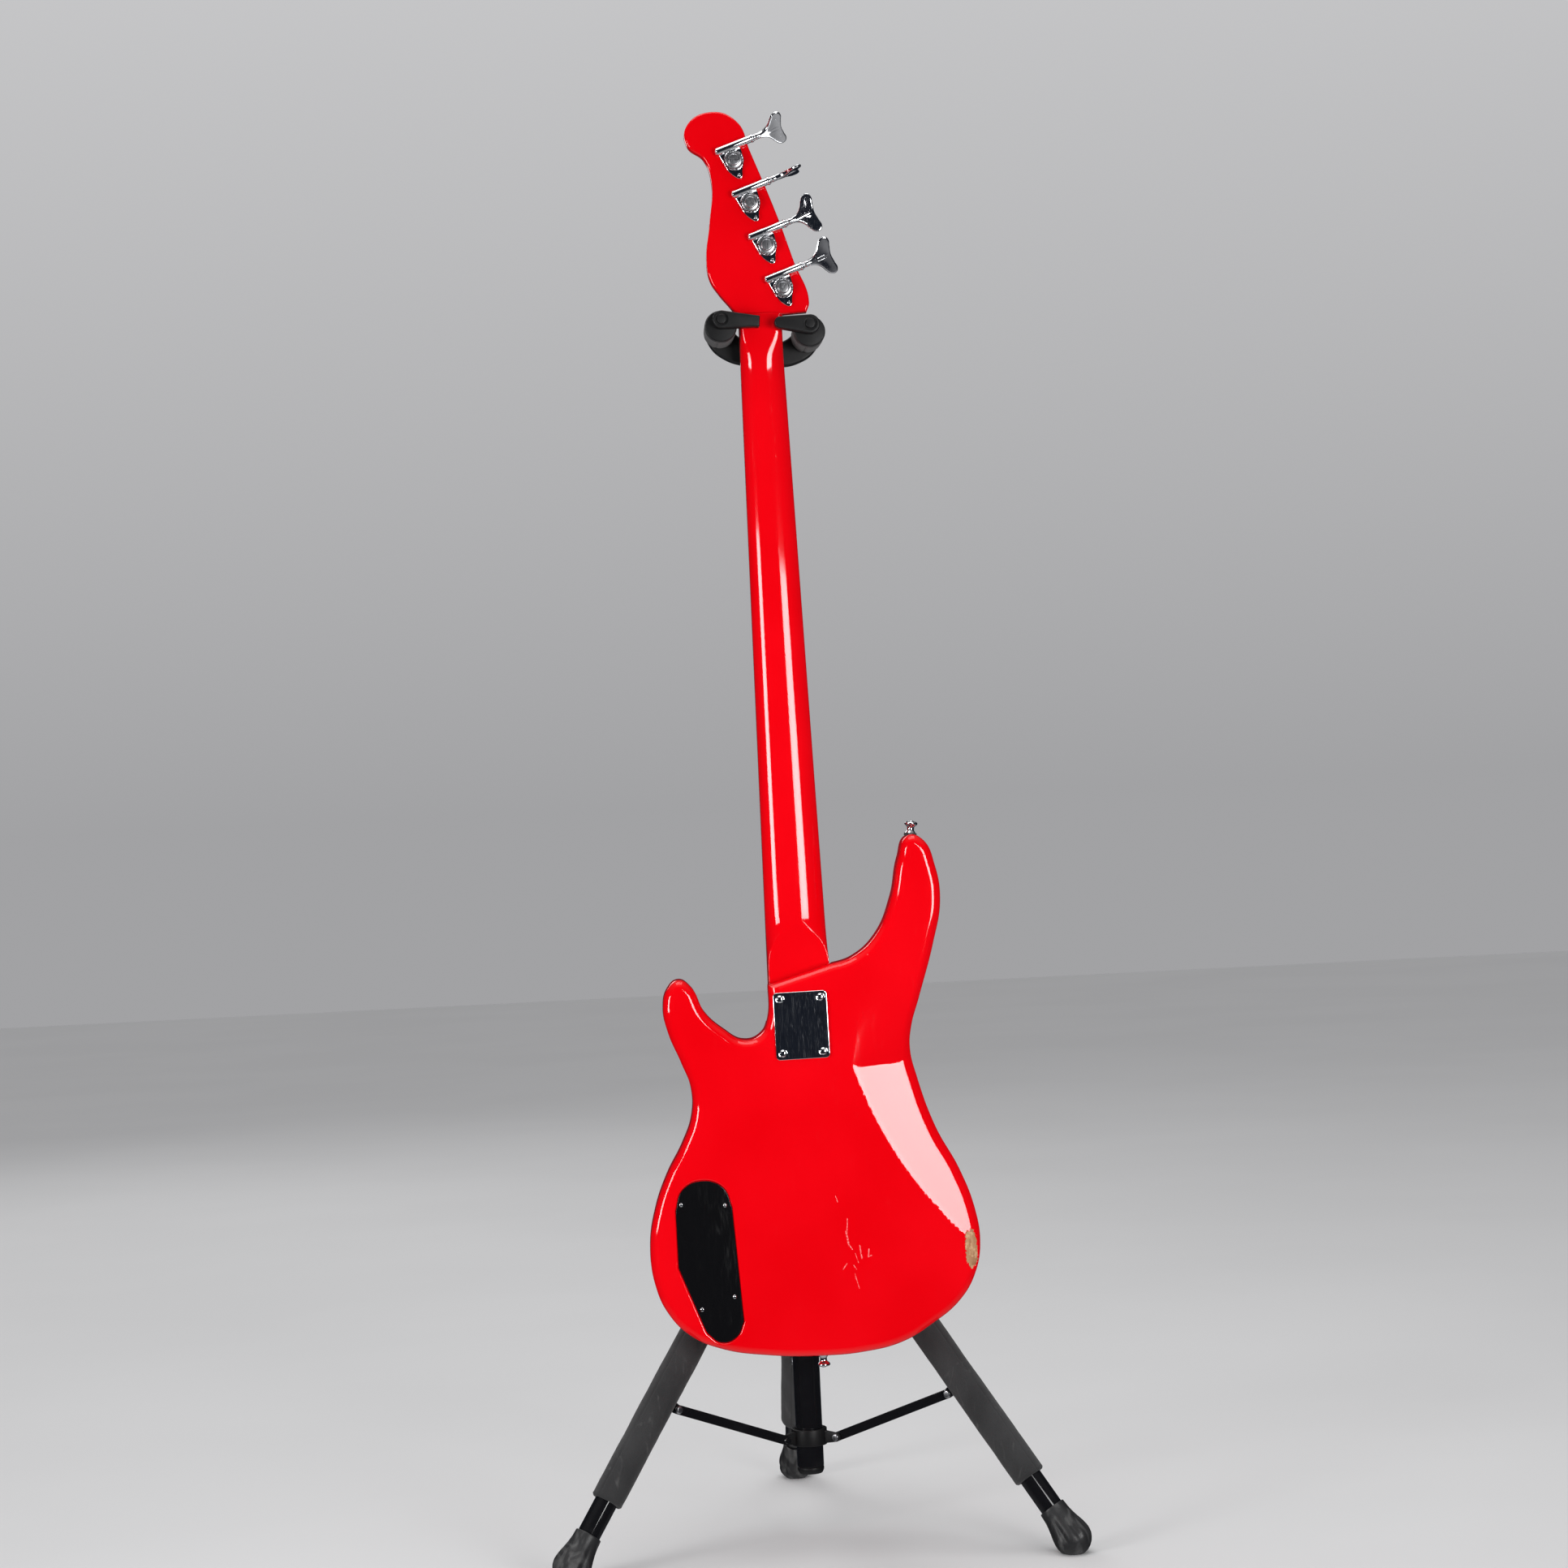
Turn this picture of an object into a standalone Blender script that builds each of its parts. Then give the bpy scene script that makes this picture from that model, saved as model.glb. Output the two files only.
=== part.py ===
"""An electric bass guitar hanging face to the column on a folding tripod stand.

The stand's column stands at STAND_Y on the centre line, with the guitar on its -Y side, so that
the guitar's back faces -Y. Sizes below are in millimetres and MM turns them into metres. The
guitar's own frame has x to the side, y from its back to its strings and z up its neck, with its
origin on the centre line at the body's lower end.
"""

import math

import bmesh
import bpy
from mathutils import Matrix, Vector

MM = 0.001
GAP = 0.3  # clearance between touching solids

# Stand: column, hub and legs
STAND_Y = -67.97  # puts the origin at the middle of the footprint
TUBE_R = 13.0
TUBE_WALL = 2.0
TUBE_BOTTOM = 68.0
TUBE_TOP = 480.0
PLUG_BOTTOM = 60.0
FOOT_REACH = 271.6  # from the column's axis to a foot's centre
HUB_PIVOT_R = 38.0
HUB_PIVOT_Z = 331.4
BALL_Z = 15.0
LEG_AZIMUTHS = {"left": -150.0, "right": -30.0, "rear": 90.0}
LEG_ANGLE = math.degrees(math.atan((FOOT_REACH - HUB_PIVOT_R) / (HUB_PIVOT_Z - BALL_Z)))
LEG_LENGTH = math.hypot(FOOT_REACH - HUB_PIVOT_R, HUB_PIVOT_Z - BALL_Z)
LEG_R = 11.0
LEG_WALL = 1.8
LEG_TOP = 16.0  # from the pivot down to the tube's end
FOAM_R = 15.6
FOAM_FROM = 30.0
FOAM_TO = 326.0
BOOT_RIM = 33.0  # from the ball's centre up to the boot's rim
BALL_R = 18.6

# Struts between the legs and the lower collar
COLLAR_Z = 97.0
COLLAR_R = 17.5
COLLAR_PIVOT_R = 29.0
LUG_ALONG = 217.0
LUG_OFFSET = 21.0
STRUT_WIDTH = 9.0
STRUT_THICK = 3.0
STRUT_SIDE = 1.8  # the lugs' half thickness with its gap

# Height shaft, clutch and yoke
SHAFT_R = 10.3
SHAFT_BOTTOM = 200.0
SHAFT_TOP = 1120.0
CLUTCH_BOTTOM = 466.0
CLUTCH_TOP = 536.0
YOKE_X = -1.5
YOKE_PIVOT_Z = 1150.0
YOKE_TILT = 5.0
PLATE_BACK = -58.0
PLATE_FRONT = -70.0
ARM_X = 42.0
ARM_Z = 16.5
ARM_R = 6.0
ARM_FOAM_R = 15.5
ARM_END = -108.0
FLANGE_R = 14.5
FINGER_RISE = 5.0  # finger pivot above the arm's axis
FINGER_LENGTH = 36.0
FINGER_DEPTH = 11.6

# Guitar
GUITAR_X = 9.0
GUITAR_BACK = -132.0  # the body's back, from the column's axis
GUITAR_Z = 196.0
GUITAR_LEAN = -0.74
BODY_DEPTH = 40.0
BODY_EDGE = 8.0
GLUE_PLANE = 44.0  # between the neck and its fingerboard
NUT_S = 975.0
SCALE_LENGTH = 864.0
NECK_HEEL_S = 278.0
HEEL_BACK = 24.0
NUT_HALF = 20.3
HEEL_HALF = 30.4
NECK_ROUND_S = 416.0  # the rounded back starts here, and thins up to NECK_THIN_S
NECK_ROUND_BACK = 26.2
NECK_THIN_S = 955.0
NECK_THIN_BACK = 29.4
BOARD_END_S = 314.0
HEAD_BACK = 25.0
HEAD_FACE = 39.0
PLATE_CENTRE = (-2.5, 312.0)
BELLY_CENTRE = (228.0, -574.0, 262.0)  # of the sphere that scoops the belly cut
BELLY_R = 600.0
KNOB_PLACES = [(-104, 146), (-103, 111), (-99, 76)]
JACK_PLACE = (-92, 43)
COVER_DEPTH = 2.0
STRING_SPACING = 19.0
SADDLE_S = NUT_S - SCALE_LENGTH
TUNER_FIRST = (-17.0, 1131.0)
TUNER_STEP = (13.3, -41.0)
TUNER_ANGLE = 19.0
TUNER_TURNS = (50.0, 90.0, 5.0, 25.0)
WORM_V = 12.7
WORM_Y = 19.5

BODY_OUTLINE = [
    (28, 367, 1), (50, 373), (73, 392), (90, 427), (99, 464), (109, 484), (122, 480),
    (133, 454), (136, 421), (127, 381), (111, 331), (102, 303), (100, 283), (105, 256),
    (120, 207), (140, 166), (152, 129), (155, 98), (148, 67), (132, 43), (105, 23),
    (76, 8), (39, 1), (-1, 0), (-52, 4), (-95, 13), (-123, 27), (-142, 48), (-153, 75),
    (-156, 111), (-149, 147), (-136, 179), (-120, 207), (-110, 232), (-109, 258),
    (-117, 283), (-128, 313), (-131, 335), (-126, 353), (-115, 361), (-104, 354),
    (-92, 329), (-75, 312), (-56, 301), (-40, 306), (-33, 320), (-31, 351, 1),
]
HEAD_OUTLINE = [
    (-22, 984, 1), (-28, 993), (-38, 1006), (-46, 1020), (-48, 1040), (-43, 1074),
    (-39, 1112), (-45, 1134), (-60, 1148), (-60, 1166), (-34, 1179), (-11, 1168),
    (-1, 1141), (22, 1076), (35, 1033), (47, 994), (44, 985, 1), (22, 984, 1),
]
COVER_OUTLINE = [
    (-130.5, 146, 1), (-123, 165), (-104, 172.5), (-85, 165), (-77.5, 146, 1),
    (-72.5, 38, 1), (-80, 24), (-94, 19.5), (-107, 29, 1), (-109, 33, 1), (-131, 92, 1),
]
CAVITY_OUTLINE = [
    (-124, 144, 1), (-118, 160), (-104, 166), (-90, 160), (-84, 144, 1),
    (-79, 42, 1), (-84, 32), (-94, 29), (-102, 36, 1), (-124, 92, 1),
]
YOKE_OUTLINE = [
    (-55, 17), (-50, 3), (-36, -8), (-18, -13), (18, -13), (36, -8), (50, 3), (55, 17),
    (51, 27), (42, 30), (33, 27), (26, 16), (12, 9), (-12, 9), (-26, 16), (-33, 27),
    (-42, 30), (-51, 27),
]
KEY_OUTLINE = [
    (31, 3, 1), (39, 5), (42, 13), (48, 18.5), (54, 14), (57, 0), (54, -14), (48, -18.5),
    (42, -13), (39, -5), (31, -3, 1),
]
TUNER_OUTLINE = [
    (-13, 17, 1), (-13, 8, 1), (-9.5, -3), (-6, -9), (-2.6, -16), (0, -18.2), (2.6, -16),
    (6, -9), (9.5, -3), (14, 8, 1), (14, 17, 1),
]
# Each strap button's name, its seat on the body's rim, and the way its screw goes in
STRAP_BUTTONS = [
    ("strap_button_horn", (112.5, 484.6), (-0.12, -0.993)),
    ("strap_button_end", (1.0, 0.0), (0.0, 1.0)),
]

parts = None
cutters = None


def make_collection(name, hidden=False):
    made = bpy.data.collections.new(name)
    bpy.context.scene.collection.children.link(made)
    made.hide_render = hidden
    return made


def start_scene():
    for obj in list(bpy.data.objects):
        bpy.data.objects.remove(obj, do_unlink=True)
    global parts, cutters
    parts = make_collection("guitar_on_stand")
    cutters = make_collection("guitar_on_stand_cutters", hidden=True)


def paint(name, colour, roughness, metallic=0.0):
    made = bpy.data.materials.get(name)
    if made is None:
        made = bpy.data.materials.new(name)
        made.use_nodes = True
        shader = made.node_tree.nodes["Principled BSDF"]
        shader.inputs["Base Color"].default_value = (*colour, 1.0)
        shader.inputs["Roughness"].default_value = roughness
        shader.inputs["Metallic"].default_value = metallic
    return made


FINISHES = {
    "red_lacquer": ((0.80, 0.004, 0.006), 0.12),
    "chrome": ((0.85, 0.86, 0.88), 0.08, 1.0),
    "black_metal": ((0.012, 0.012, 0.013), 0.22, 0.2),
    "black_plastic": ((0.012, 0.012, 0.013), 0.45),
    "foam": ((0.022, 0.022, 0.024), 0.9),
    "rubber": ((0.02, 0.02, 0.021), 0.7),
    "rosewood": ((0.10, 0.035, 0.02), 0.5),
    "bone": ((0.82, 0.78, 0.68), 0.4),
    "steel": ((0.55, 0.55, 0.57), 0.25, 1.0),
}


def empty(name, location=(0, 0, 0), rotation=(0, 0, 0), parent=None):
    """An empty at a place in millimetres, turned by degrees about X, Y and Z."""
    made = bpy.data.objects.new(name, None)
    made.location = Vector(location) * MM
    made.rotation_euler = [math.radians(angle) for angle in rotation]
    made.parent = parent
    parts.objects.link(made)
    return made


def add(name, mesh, finish=None, parent=None, at=(0, 0, 0), turn=(0, 0, 0)):
    """Puts a mesh in the scene: a part if it has a finish, or else a helper solid."""
    made = bpy.data.objects.new(name, mesh)
    made.location = Vector(at) * MM
    made.rotation_euler = [math.radians(angle) for angle in turn]
    made.parent = parent
    if finish:
        mesh.materials.clear()
        mesh.materials.append(paint(finish, *FINISHES[finish]))
        parts.objects.link(made)
    else:
        made.hide_render = True
        made.display_type = "WIRE"
        cutters.objects.link(made)
    return made


def combine(obj, other, operation):
    modifier = obj.modifiers.new(f"{operation.lower()}_{other.name}", "BOOLEAN")
    modifier.operation = operation
    modifier.solver = "EXACT"
    modifier.object = other


def cut(obj, *helpers):
    for helper in helpers:
        helper.parent = helper.parent or obj.parent
        combine(obj, helper, "DIFFERENCE")


def join(obj, *helpers):
    for helper in helpers:
        helper.parent = helper.parent or obj.parent
        combine(obj, helper, "UNION")


def mesh_of(name, shape, smooth=True):
    mesh = bpy.data.meshes.new(name)
    shape.to_mesh(mesh)
    shape.free()
    if smooth:
        mesh.shade_smooth()
        mesh.set_sharp_from_angle(angle=math.radians(35))
    return mesh


def box(name, low, high):
    """A block between two corners in millimetres."""
    shape = bmesh.new()
    bmesh.ops.create_cube(shape, size=1.0)
    size = Vector(high) - Vector(low)
    centre = (Vector(high) + Vector(low)) / 2
    bmesh.ops.scale(shape, verts=shape.verts, vec=size * MM)
    bmesh.ops.translate(shape, verts=shape.verts, vec=centre * MM)
    return mesh_of(name, shape, smooth=False)


def rod(name, start, end, radius, end_radius=None, sides=16):
    """A round bar between two points in millimetres, tapered if it has an end radius."""
    axis = (Vector(end) - Vector(start)) * MM
    turn = axis.to_track_quat("Z", "Y").to_matrix().to_4x4()
    middle = Matrix.Translation((Vector(start) + Vector(end)) / 2 * MM)
    shape = bmesh.new()
    bmesh.ops.create_cone(
        shape, cap_ends=True, segments=sides, radius1=radius * MM, depth=axis.length,
        radius2=(radius if end_radius is None else end_radius) * MM, matrix=middle @ turn,
    )
    return mesh_of(name, shape)


def ball(name, centre, radius):
    shape = bmesh.new()
    bmesh.ops.create_icosphere(
        shape, subdivisions=5, radius=radius * MM, matrix=Matrix.Translation(Vector(centre) * MM))
    return mesh_of(name, shape)


def turned(name, finish, profile, parent=None, at=(0, 0, 0), turn=(0, 0, 0), sides=16, ring=False):
    """A profile of (radius, height) points, down its outer side, turned about Z.

    A ring's profile is closed. Any other profile starts and ends on the axis.
    """
    shape = bmesh.new()
    points = [shape.verts.new((r * MM, 0, z * MM)) for r, z in profile]
    for first, second in zip(points, points[1:]):
        shape.edges.new((first, second))
    if ring:
        shape.edges.new((points[-1], points[0]))
    mesh = mesh_of(name, shape)
    obj = add(name, mesh, finish, parent, at, turn)
    screw = obj.modifiers.new("turn", "SCREW")
    screw.steps = screw.render_steps = sides
    screw.use_merge_vertices = True
    screw.merge_threshold = 0.00001
    screw.use_smooth_shade = True
    return obj


def pipe(name, finish, outer, inner, low, high, parent=None, sides=16, **place):
    profile = [(outer, high), (outer, low), (inner, low), (inner, high)]
    return turned(name, finish, profile, parent, sides=sides, ring=True, **place)


def prism(name, outline, low, high, edge=0.0, resolution=2, edge_steps=1):
    """A flat outline in the XZ plane, from low to high along Y, with its edges rounded by edge.

    A point with a third value is a corner, and the others lie on a smooth curve.
    """
    curve = bpy.data.curves.new(name, "CURVE")
    curve.dimensions = "2D"
    curve.fill_mode = "BOTH"
    curve.extrude = ((high - low) / 2 - edge) * MM
    curve.bevel_depth = edge * MM
    curve.offset = -edge * MM
    curve.bevel_resolution = edge_steps
    curve.resolution_u = resolution
    spline = curve.splines.new("BEZIER")
    spline.use_cyclic_u = True
    spline.bezier_points.add(len(outline) - 1)
    for point, (x, z, *corner) in zip(spline.bezier_points, outline):
        point.co = (x * MM, z * MM, 0)
        handle = "VECTOR" if corner else "AUTO"
        point.handle_left_type = point.handle_right_type = handle
    guide = bpy.data.objects.new(name, curve)
    cutters.objects.link(guide)
    graph = bpy.context.evaluated_depsgraph_get()
    mesh = bpy.data.meshes.new_from_object(guide.evaluated_get(graph))
    bpy.data.objects.remove(guide)
    bpy.data.curves.remove(curve)
    shape = bmesh.new()
    shape.from_mesh(mesh)
    bmesh.ops.remove_doubles(shape, verts=shape.verts, dist=0.00001)
    middle = Matrix.Translation((0, (low + high) / 2 * MM, 0))
    bmesh.ops.transform(shape, verts=shape.verts, matrix=middle @ Matrix.Rotation(math.pi / 2, 4, "X"))
    bmesh.ops.recalc_face_normals(shape, faces=shape.faces)
    return mesh_of(name, shape)


def capsule_outline(start, end, first_r, last_r, steps=5):
    """An outline round two circles, both ends as half circles of straight pieces."""
    angle = math.atan2(end[1] - start[1], end[0] - start[0])
    points = []
    for centre, radius, turn in ((start, first_r, math.pi / 2), (end, last_r, -math.pi / 2)):
        for i in range(steps + 1):
            a = angle + turn + math.pi * i / steps
            points.append((centre[0] + radius * math.cos(a), centre[1] + radius * math.sin(a), 1))
    return points


# ---------------------------------------------------------------------------------------- stand


def make_column(stand):
    pipe("column_tube", "black_metal", TUBE_R, TUBE_R - TUBE_WALL, TUBE_BOTTOM, TUBE_TOP, stand)
    bore = TUBE_R - TUBE_WALL - GAP
    turned("column_plug", "black_plastic", [
        (0, 88), (bore, 88), (bore, TUBE_BOTTOM - GAP), (TUBE_R, TUBE_BOTTOM - GAP),
        (TUBE_R, 65), (TUBE_R - 1.5, 62), (TUBE_R - 5, PLUG_BOTTOM + 0.3), (0, PLUG_BOTTOM),
    ], stand)
    collar = pipe(
        "strut_collar", "black_plastic", COLLAR_R, TUBE_R + GAP, COLLAR_Z - 8, COLLAR_Z + 8, stand)
    for side, azimuth in LEG_AZIMUTHS.items():
        outline = capsule_outline((15.5, COLLAR_Z), (COLLAR_PIVOT_R, COLLAR_Z), 6.5, 4.5)
        lug = prism(f"collar_lug_{side}", outline, GAP - STRUT_SIDE, STRUT_SIDE - GAP)
        lug = add(lug.name, lug, parent=stand, turn=(0, 0, azimuth))
        join(collar, lug)
    bore = rod("collar_bore", (0, 0, 80), (0, 0, 115), TUBE_R + GAP)
    cut(collar, add(bore.name, bore, parent=stand))


def make_hub(stand):
    """The hub that slides on the column, with a clevis and a pin for each leg."""
    base = HUB_PIVOT_Z
    hub = turned("leg_hub", "black_plastic", [
        (TUBE_R + GAP, base + 20), (20, base + 20), (24, base + 15), (24, base - 12),
        (22, base - 14), (TUBE_R + GAP, base - 14),
    ], stand, ring=True)
    for side, azimuth in LEG_AZIMUTHS.items():
        ears = box(f"hub_ears_{side}", (18, -11, base - 9), (HUB_PIVOT_R + 8, 11, base + 9))
        slot = box(f"hub_slot_{side}", (HUB_PIVOT_R - 10, -6.4, base - 20), (60, 6.4, base + 12))
        pin = rod(
            f"hub_pin_{side}", (HUB_PIVOT_R, -9, base), (HUB_PIVOT_R, 9, base), 3, sides=12)
        turn = (0, 0, azimuth)
        join(hub, add(ears.name, ears, parent=stand, turn=turn))
        cut(hub, add(slot.name, slot, parent=stand, turn=turn))
        join(hub, add(pin.name, pin, parent=stand, turn=turn))
    bore = rod("hub_bore", (0, 0, base - 30), (0, 0, base + 30), TUBE_R + GAP)
    screw = rod("hub_screw_hole", (10, 0, base), (40, 0, base), 3.3, sides=12)
    cut(hub, add(bore.name, bore, parent=stand))
    cut(hub, add(screw.name, screw, parent=stand, turn=(0, 0, 30)))
    turned("hub_knob", "black_plastic", [
        (0, 42), (9, 42), (11.5, 40), (11.5, 31), (9, 29), (5, 28), (5, 24.6), (3, 24.5),
        (3, 14.2), (0, 14.2),
    ], stand, at=(0, 0, base), turn=(0, 90, 30))


def make_leg(stand, side, azimuth):
    """A leg in its own frame: its pivot is the origin and its foot lies along -Z."""
    pivot = (
        HUB_PIVOT_R * math.cos(math.radians(azimuth)),
        HUB_PIVOT_R * math.sin(math.radians(azimuth)), HUB_PIVOT_Z)
    leg = empty(f"leg_axis_{side}", pivot, (0, -LEG_ANGLE, azimuth), stand)
    tube = turned(f"leg_tube_{side}", "black_metal", [
        (0, -LEG_TOP), (LEG_R - 1, -LEG_TOP), (LEG_R, -LEG_TOP - 1), (LEG_R, -LEG_LENGTH),
        (LEG_R - LEG_WALL, -LEG_LENGTH), (LEG_R - LEG_WALL, -60), (0, -60),
    ], leg)
    tongue = capsule_outline((0, 0), (0, -LEG_TOP - 4), 7.5, 7.5)
    tongue = prism(f"leg_tongue_{side}", tongue, -6, 6)
    hole = rod(f"leg_hole_{side}", (0, -8, 0), (0, 8, 0), 3.3, sides=12)
    lug = capsule_outline((-8, -LUG_ALONG), (-LUG_OFFSET, -LUG_ALONG), 6, 4.5)
    lug = prism(f"leg_lug_{side}", lug, GAP - STRUT_SIDE, STRUT_SIDE - GAP)
    rivet_end = STRUT_SIDE + STRUT_THICK + GAP
    shank = rod(
        f"leg_rivet_{side}", (-LUG_OFFSET, -1, -LUG_ALONG),
        (-LUG_OFFSET, rivet_end + 0.6, -LUG_ALONG), 2.2, sides=12)
    head = rod(
        f"leg_rivet_head_{side}", (-LUG_OFFSET, rivet_end, -LUG_ALONG),
        (-LUG_OFFSET, rivet_end + 1.6, -LUG_ALONG), 4.2, 3.2, sides=16)
    bore = rod(f"leg_bore_{side}", (0, 0, -LEG_LENGTH + 1), (0, 0, -60), LEG_R - LEG_WALL)
    join(tube, add(tongue.name, tongue, parent=leg))
    cut(tube, add(hole.name, hole, parent=leg))
    join(tube, add(lug.name, lug, parent=leg))
    cut(tube, add(bore.name, bore, parent=leg))
    join(tube, add(shank.name, shank, parent=leg), add(head.name, head, parent=leg))
    foam = pipe(
        f"leg_foam_{side}", "foam", FOAM_R, LEG_R + GAP, -FOAM_TO, -FOAM_FROM, leg)
    slot = box(
        f"foam_slot_{side}", (-30, -2.6, -LUG_ALONG - 7.5), (-5, 2.6, -LUG_ALONG + 7.5))
    cut(foam, add(slot.name, slot, parent=leg))
    boot = turned(f"leg_foot_{side}", "rubber", [
        (LEG_R + GAP, BOOT_RIM), (12.9, BOOT_RIM), (13.2, BOOT_RIM - 2), (14.2, 20), (17.0, 9),
        (BALL_R, 1), (17.6, -6), (14.4, -12), (9.5, -16), (0, -BALL_R), (0, -3.5),
        (LEG_R + GAP, -3.5),
    ], leg, at=(0, 0, -LEG_LENGTH), ring=True)
    floor = box(f"foot_floor_{side}", (-400, -400, -60), (400, 400, 0))
    cut(boot, add(floor.name, floor, parent=stand))


def make_strut(stand, side, azimuth):
    """A flat strap from the leg's lug to the collar, hinged at the leg."""
    angle = math.radians(LEG_ANGLE)
    out = HUB_PIVOT_R + LUG_ALONG * math.sin(angle) - LUG_OFFSET * math.cos(angle)
    high = HUB_PIVOT_Z - LUG_ALONG * math.cos(angle) - LUG_OFFSET * math.sin(angle)
    length = math.hypot(out - COLLAR_PIVOT_R, high - COLLAR_Z)
    slope = math.degrees(math.atan2(high - COLLAR_Z, out - COLLAR_PIVOT_R))
    turn = math.radians(azimuth)
    pivot = (out * math.cos(turn), out * math.sin(turn), high)
    axis = empty(f"strut_axis_{side}", pivot, (0, 90 - slope, azimuth), stand)
    outline = capsule_outline((0, 0), (0, -length), STRUT_WIDTH / 2, STRUT_WIDTH / 2)
    mesh = prism(f"strut_{side}", outline, STRUT_SIDE, STRUT_SIDE + STRUT_THICK)
    strap = add(f"strut_{side}", mesh, "black_metal", axis)
    hole = rod(f"strut_hole_{side}", (0, 0, 0), (0, 9, 0), 2.5, sides=12)
    cut(strap, add(hole.name, hole, parent=axis))


def make_clutch(stand):
    inner = SHAFT_R + GAP
    step = TUBE_TOP + GAP
    housing = turned("clutch_housing", "black_plastic", [
        (inner, CLUTCH_TOP), (15, CLUTCH_TOP), (18, CLUTCH_TOP - 4), (18, CLUTCH_BOTTOM + 3),
        (16, CLUTCH_BOTTOM), (TUBE_R + GAP, CLUTCH_BOTTOM), (TUBE_R + GAP, step), (inner, step),
    ], stand, ring=True)
    for number, side in enumerate((-9.5, 6.5)):
        ear = box(f"clutch_ear_{number}", (side, 14, 512), (side + 3, 28, 528))
        join(housing, add(ear.name, ear, parent=stand))
    pin = rod("clutch_pin", (-8, 23, 520), (8, 23, 520), 2, sides=12)
    join(housing, add(pin.name, pin, parent=stand))
    lever_axis = empty("clutch_lever_axis", (0, 23, 520), parent=stand)
    outline = capsule_outline((0, 0), (3.5, -44), 4, 3)
    mesh = prism("clutch_lever", outline, -6, 6)
    lever = add("clutch_lever", mesh, "black_plastic", lever_axis, turn=(0, 0, 90))
    hole = rod("clutch_lever_hole", (0, -8, 0), (0, 8, 0), 2.3, sides=12)
    cut(lever, add(hole.name, hole, parent=lever_axis, turn=(0, 0, 90)))


def make_shaft(stand):
    pipe("height_shaft", "black_metal", SHAFT_R, SHAFT_R - 2, SHAFT_BOTTOM, SHAFT_TOP, stand)
    turned("yoke_carrier", "black_plastic", [
        (6.3, 1130), (13, 1130), (15, 1127), (15, 1085), (SHAFT_R + GAP, 1085),
        (SHAFT_R + GAP, SHAFT_TOP + GAP), (6.3, SHAFT_TOP + GAP),
    ], stand, ring=True)
    stem = rod("plunger_stem", (0, 0, 1060), (0, 0, 1140), 6)
    block = box("yoke_plunger", (YOKE_X - 11, -57.7, 1138), (YOKE_X + 11, -10, 1163))
    block = add("yoke_plunger", block, "black_plastic", stand)
    cap = rod("plunger_cap", (0, 0, 1130.3), (0, 0, 1163), 15)
    pin = rod("plunger_pin", (YOKE_X, -50, YOKE_PIVOT_Z), (YOKE_X, -72, YOKE_PIVOT_Z), 5, sides=16)
    head = rod(
        "plunger_head", (YOKE_X, PLATE_FRONT - GAP, YOKE_PIVOT_Z),
        (YOKE_X, PLATE_FRONT - 2.8, YOKE_PIVOT_Z), 8, 7, sides=16)
    for helper in (cap, stem, pin, head):
        join(block, add(helper.name, helper, parent=stand))


def make_yoke(stand):
    """The yoke in its own frame, on its swivel axis, with both arms reaching along -Y."""
    yoke = empty("yoke_axis", (YOKE_X, 0, YOKE_PIVOT_Z), (0, YOKE_TILT, 0), stand)
    plate = prism("yoke_frame", YOKE_OUTLINE, PLATE_FRONT, PLATE_BACK, edge=2.0, resolution=2)
    frame = add("yoke_frame", plate, "black_plastic", yoke)
    bore = rod("yoke_bore", (0, -80, 0), (0, -50, 0), 5.3, sides=16)
    cut(frame, add(bore.name, bore, parent=yoke))
    for side, sign in (("left", -1), ("right", 1)):
        x = sign * ARM_X
        pin_z = ARM_Z + FINGER_RISE
        arm = rod(f"yoke_arm_{side}", (x, PLATE_BACK - 4, ARM_Z), (x, ARM_END, ARM_Z), ARM_R)
        flange = rod(
            f"yoke_flange_{side}", (x, ARM_END, ARM_Z), (x, ARM_END - 3, ARM_Z), FLANGE_R)
        finger_back = ARM_END - 3 - GAP
        finger_front = finger_back - FINGER_DEPTH
        pin = rod(
            f"finger_pin_{side}", (x, ARM_END - 1, pin_z), (x, finger_front - 1.5, pin_z), 3,
            sides=12)
        head = rod(
            f"finger_pin_head_{side}", (x, finger_front - GAP, pin_z),
            (x, finger_front - 1.9, pin_z), 5, 4, sides=16)
        for helper in (arm, flange, pin, head):
            join(frame, add(helper.name, helper, parent=yoke))
        pipe(
            f"arm_foam_{side}", "foam", ARM_FOAM_R, ARM_R + GAP, 0,
            PLATE_FRONT - ARM_END - 2 * GAP, yoke, at=(x, ARM_END + GAP, ARM_Z), turn=(-90, 0, 0))
        finger_axis = empty(f"finger_axis_{side}", (x, 0, pin_z), parent=yoke)
        outline = capsule_outline((0, 0), (-sign * FINGER_LENGTH, 0), 9, 5.8)
        mesh = prism(f"finger_{side}", outline, finger_front, finger_back)
        finger = add(f"finger_{side}", mesh, "black_plastic", finger_axis)
        hole = rod(f"finger_hole_{side}", (0, -150, 0), (0, -90, 0), 3.3, sides=12)
        cut(finger, add(hole.name, hole, parent=finger_axis))


# --------------------------------------------------------------------------------------- guitar


def neck_half_width(s):
    """Half the neck's width at a height up the neck."""
    share = (NUT_S - s) / (NUT_S - NECK_HEEL_S)
    return NUT_HALF + (HEEL_HALF - NUT_HALF) * share


def neck_ring(half, top, back, squareness, steps=10):
    """A D-shaped section: flat on top, and a superellipse round the back."""
    ring = []
    for i in range(steps + 1):
        angle = math.pi * i / steps
        c, s = math.cos(angle), math.sin(angle)
        x = half * math.copysign(abs(c) ** (2 / squareness), c)
        ring.append((x, top - (top - back) * abs(s) ** (2 / squareness)))
    return ring


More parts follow.
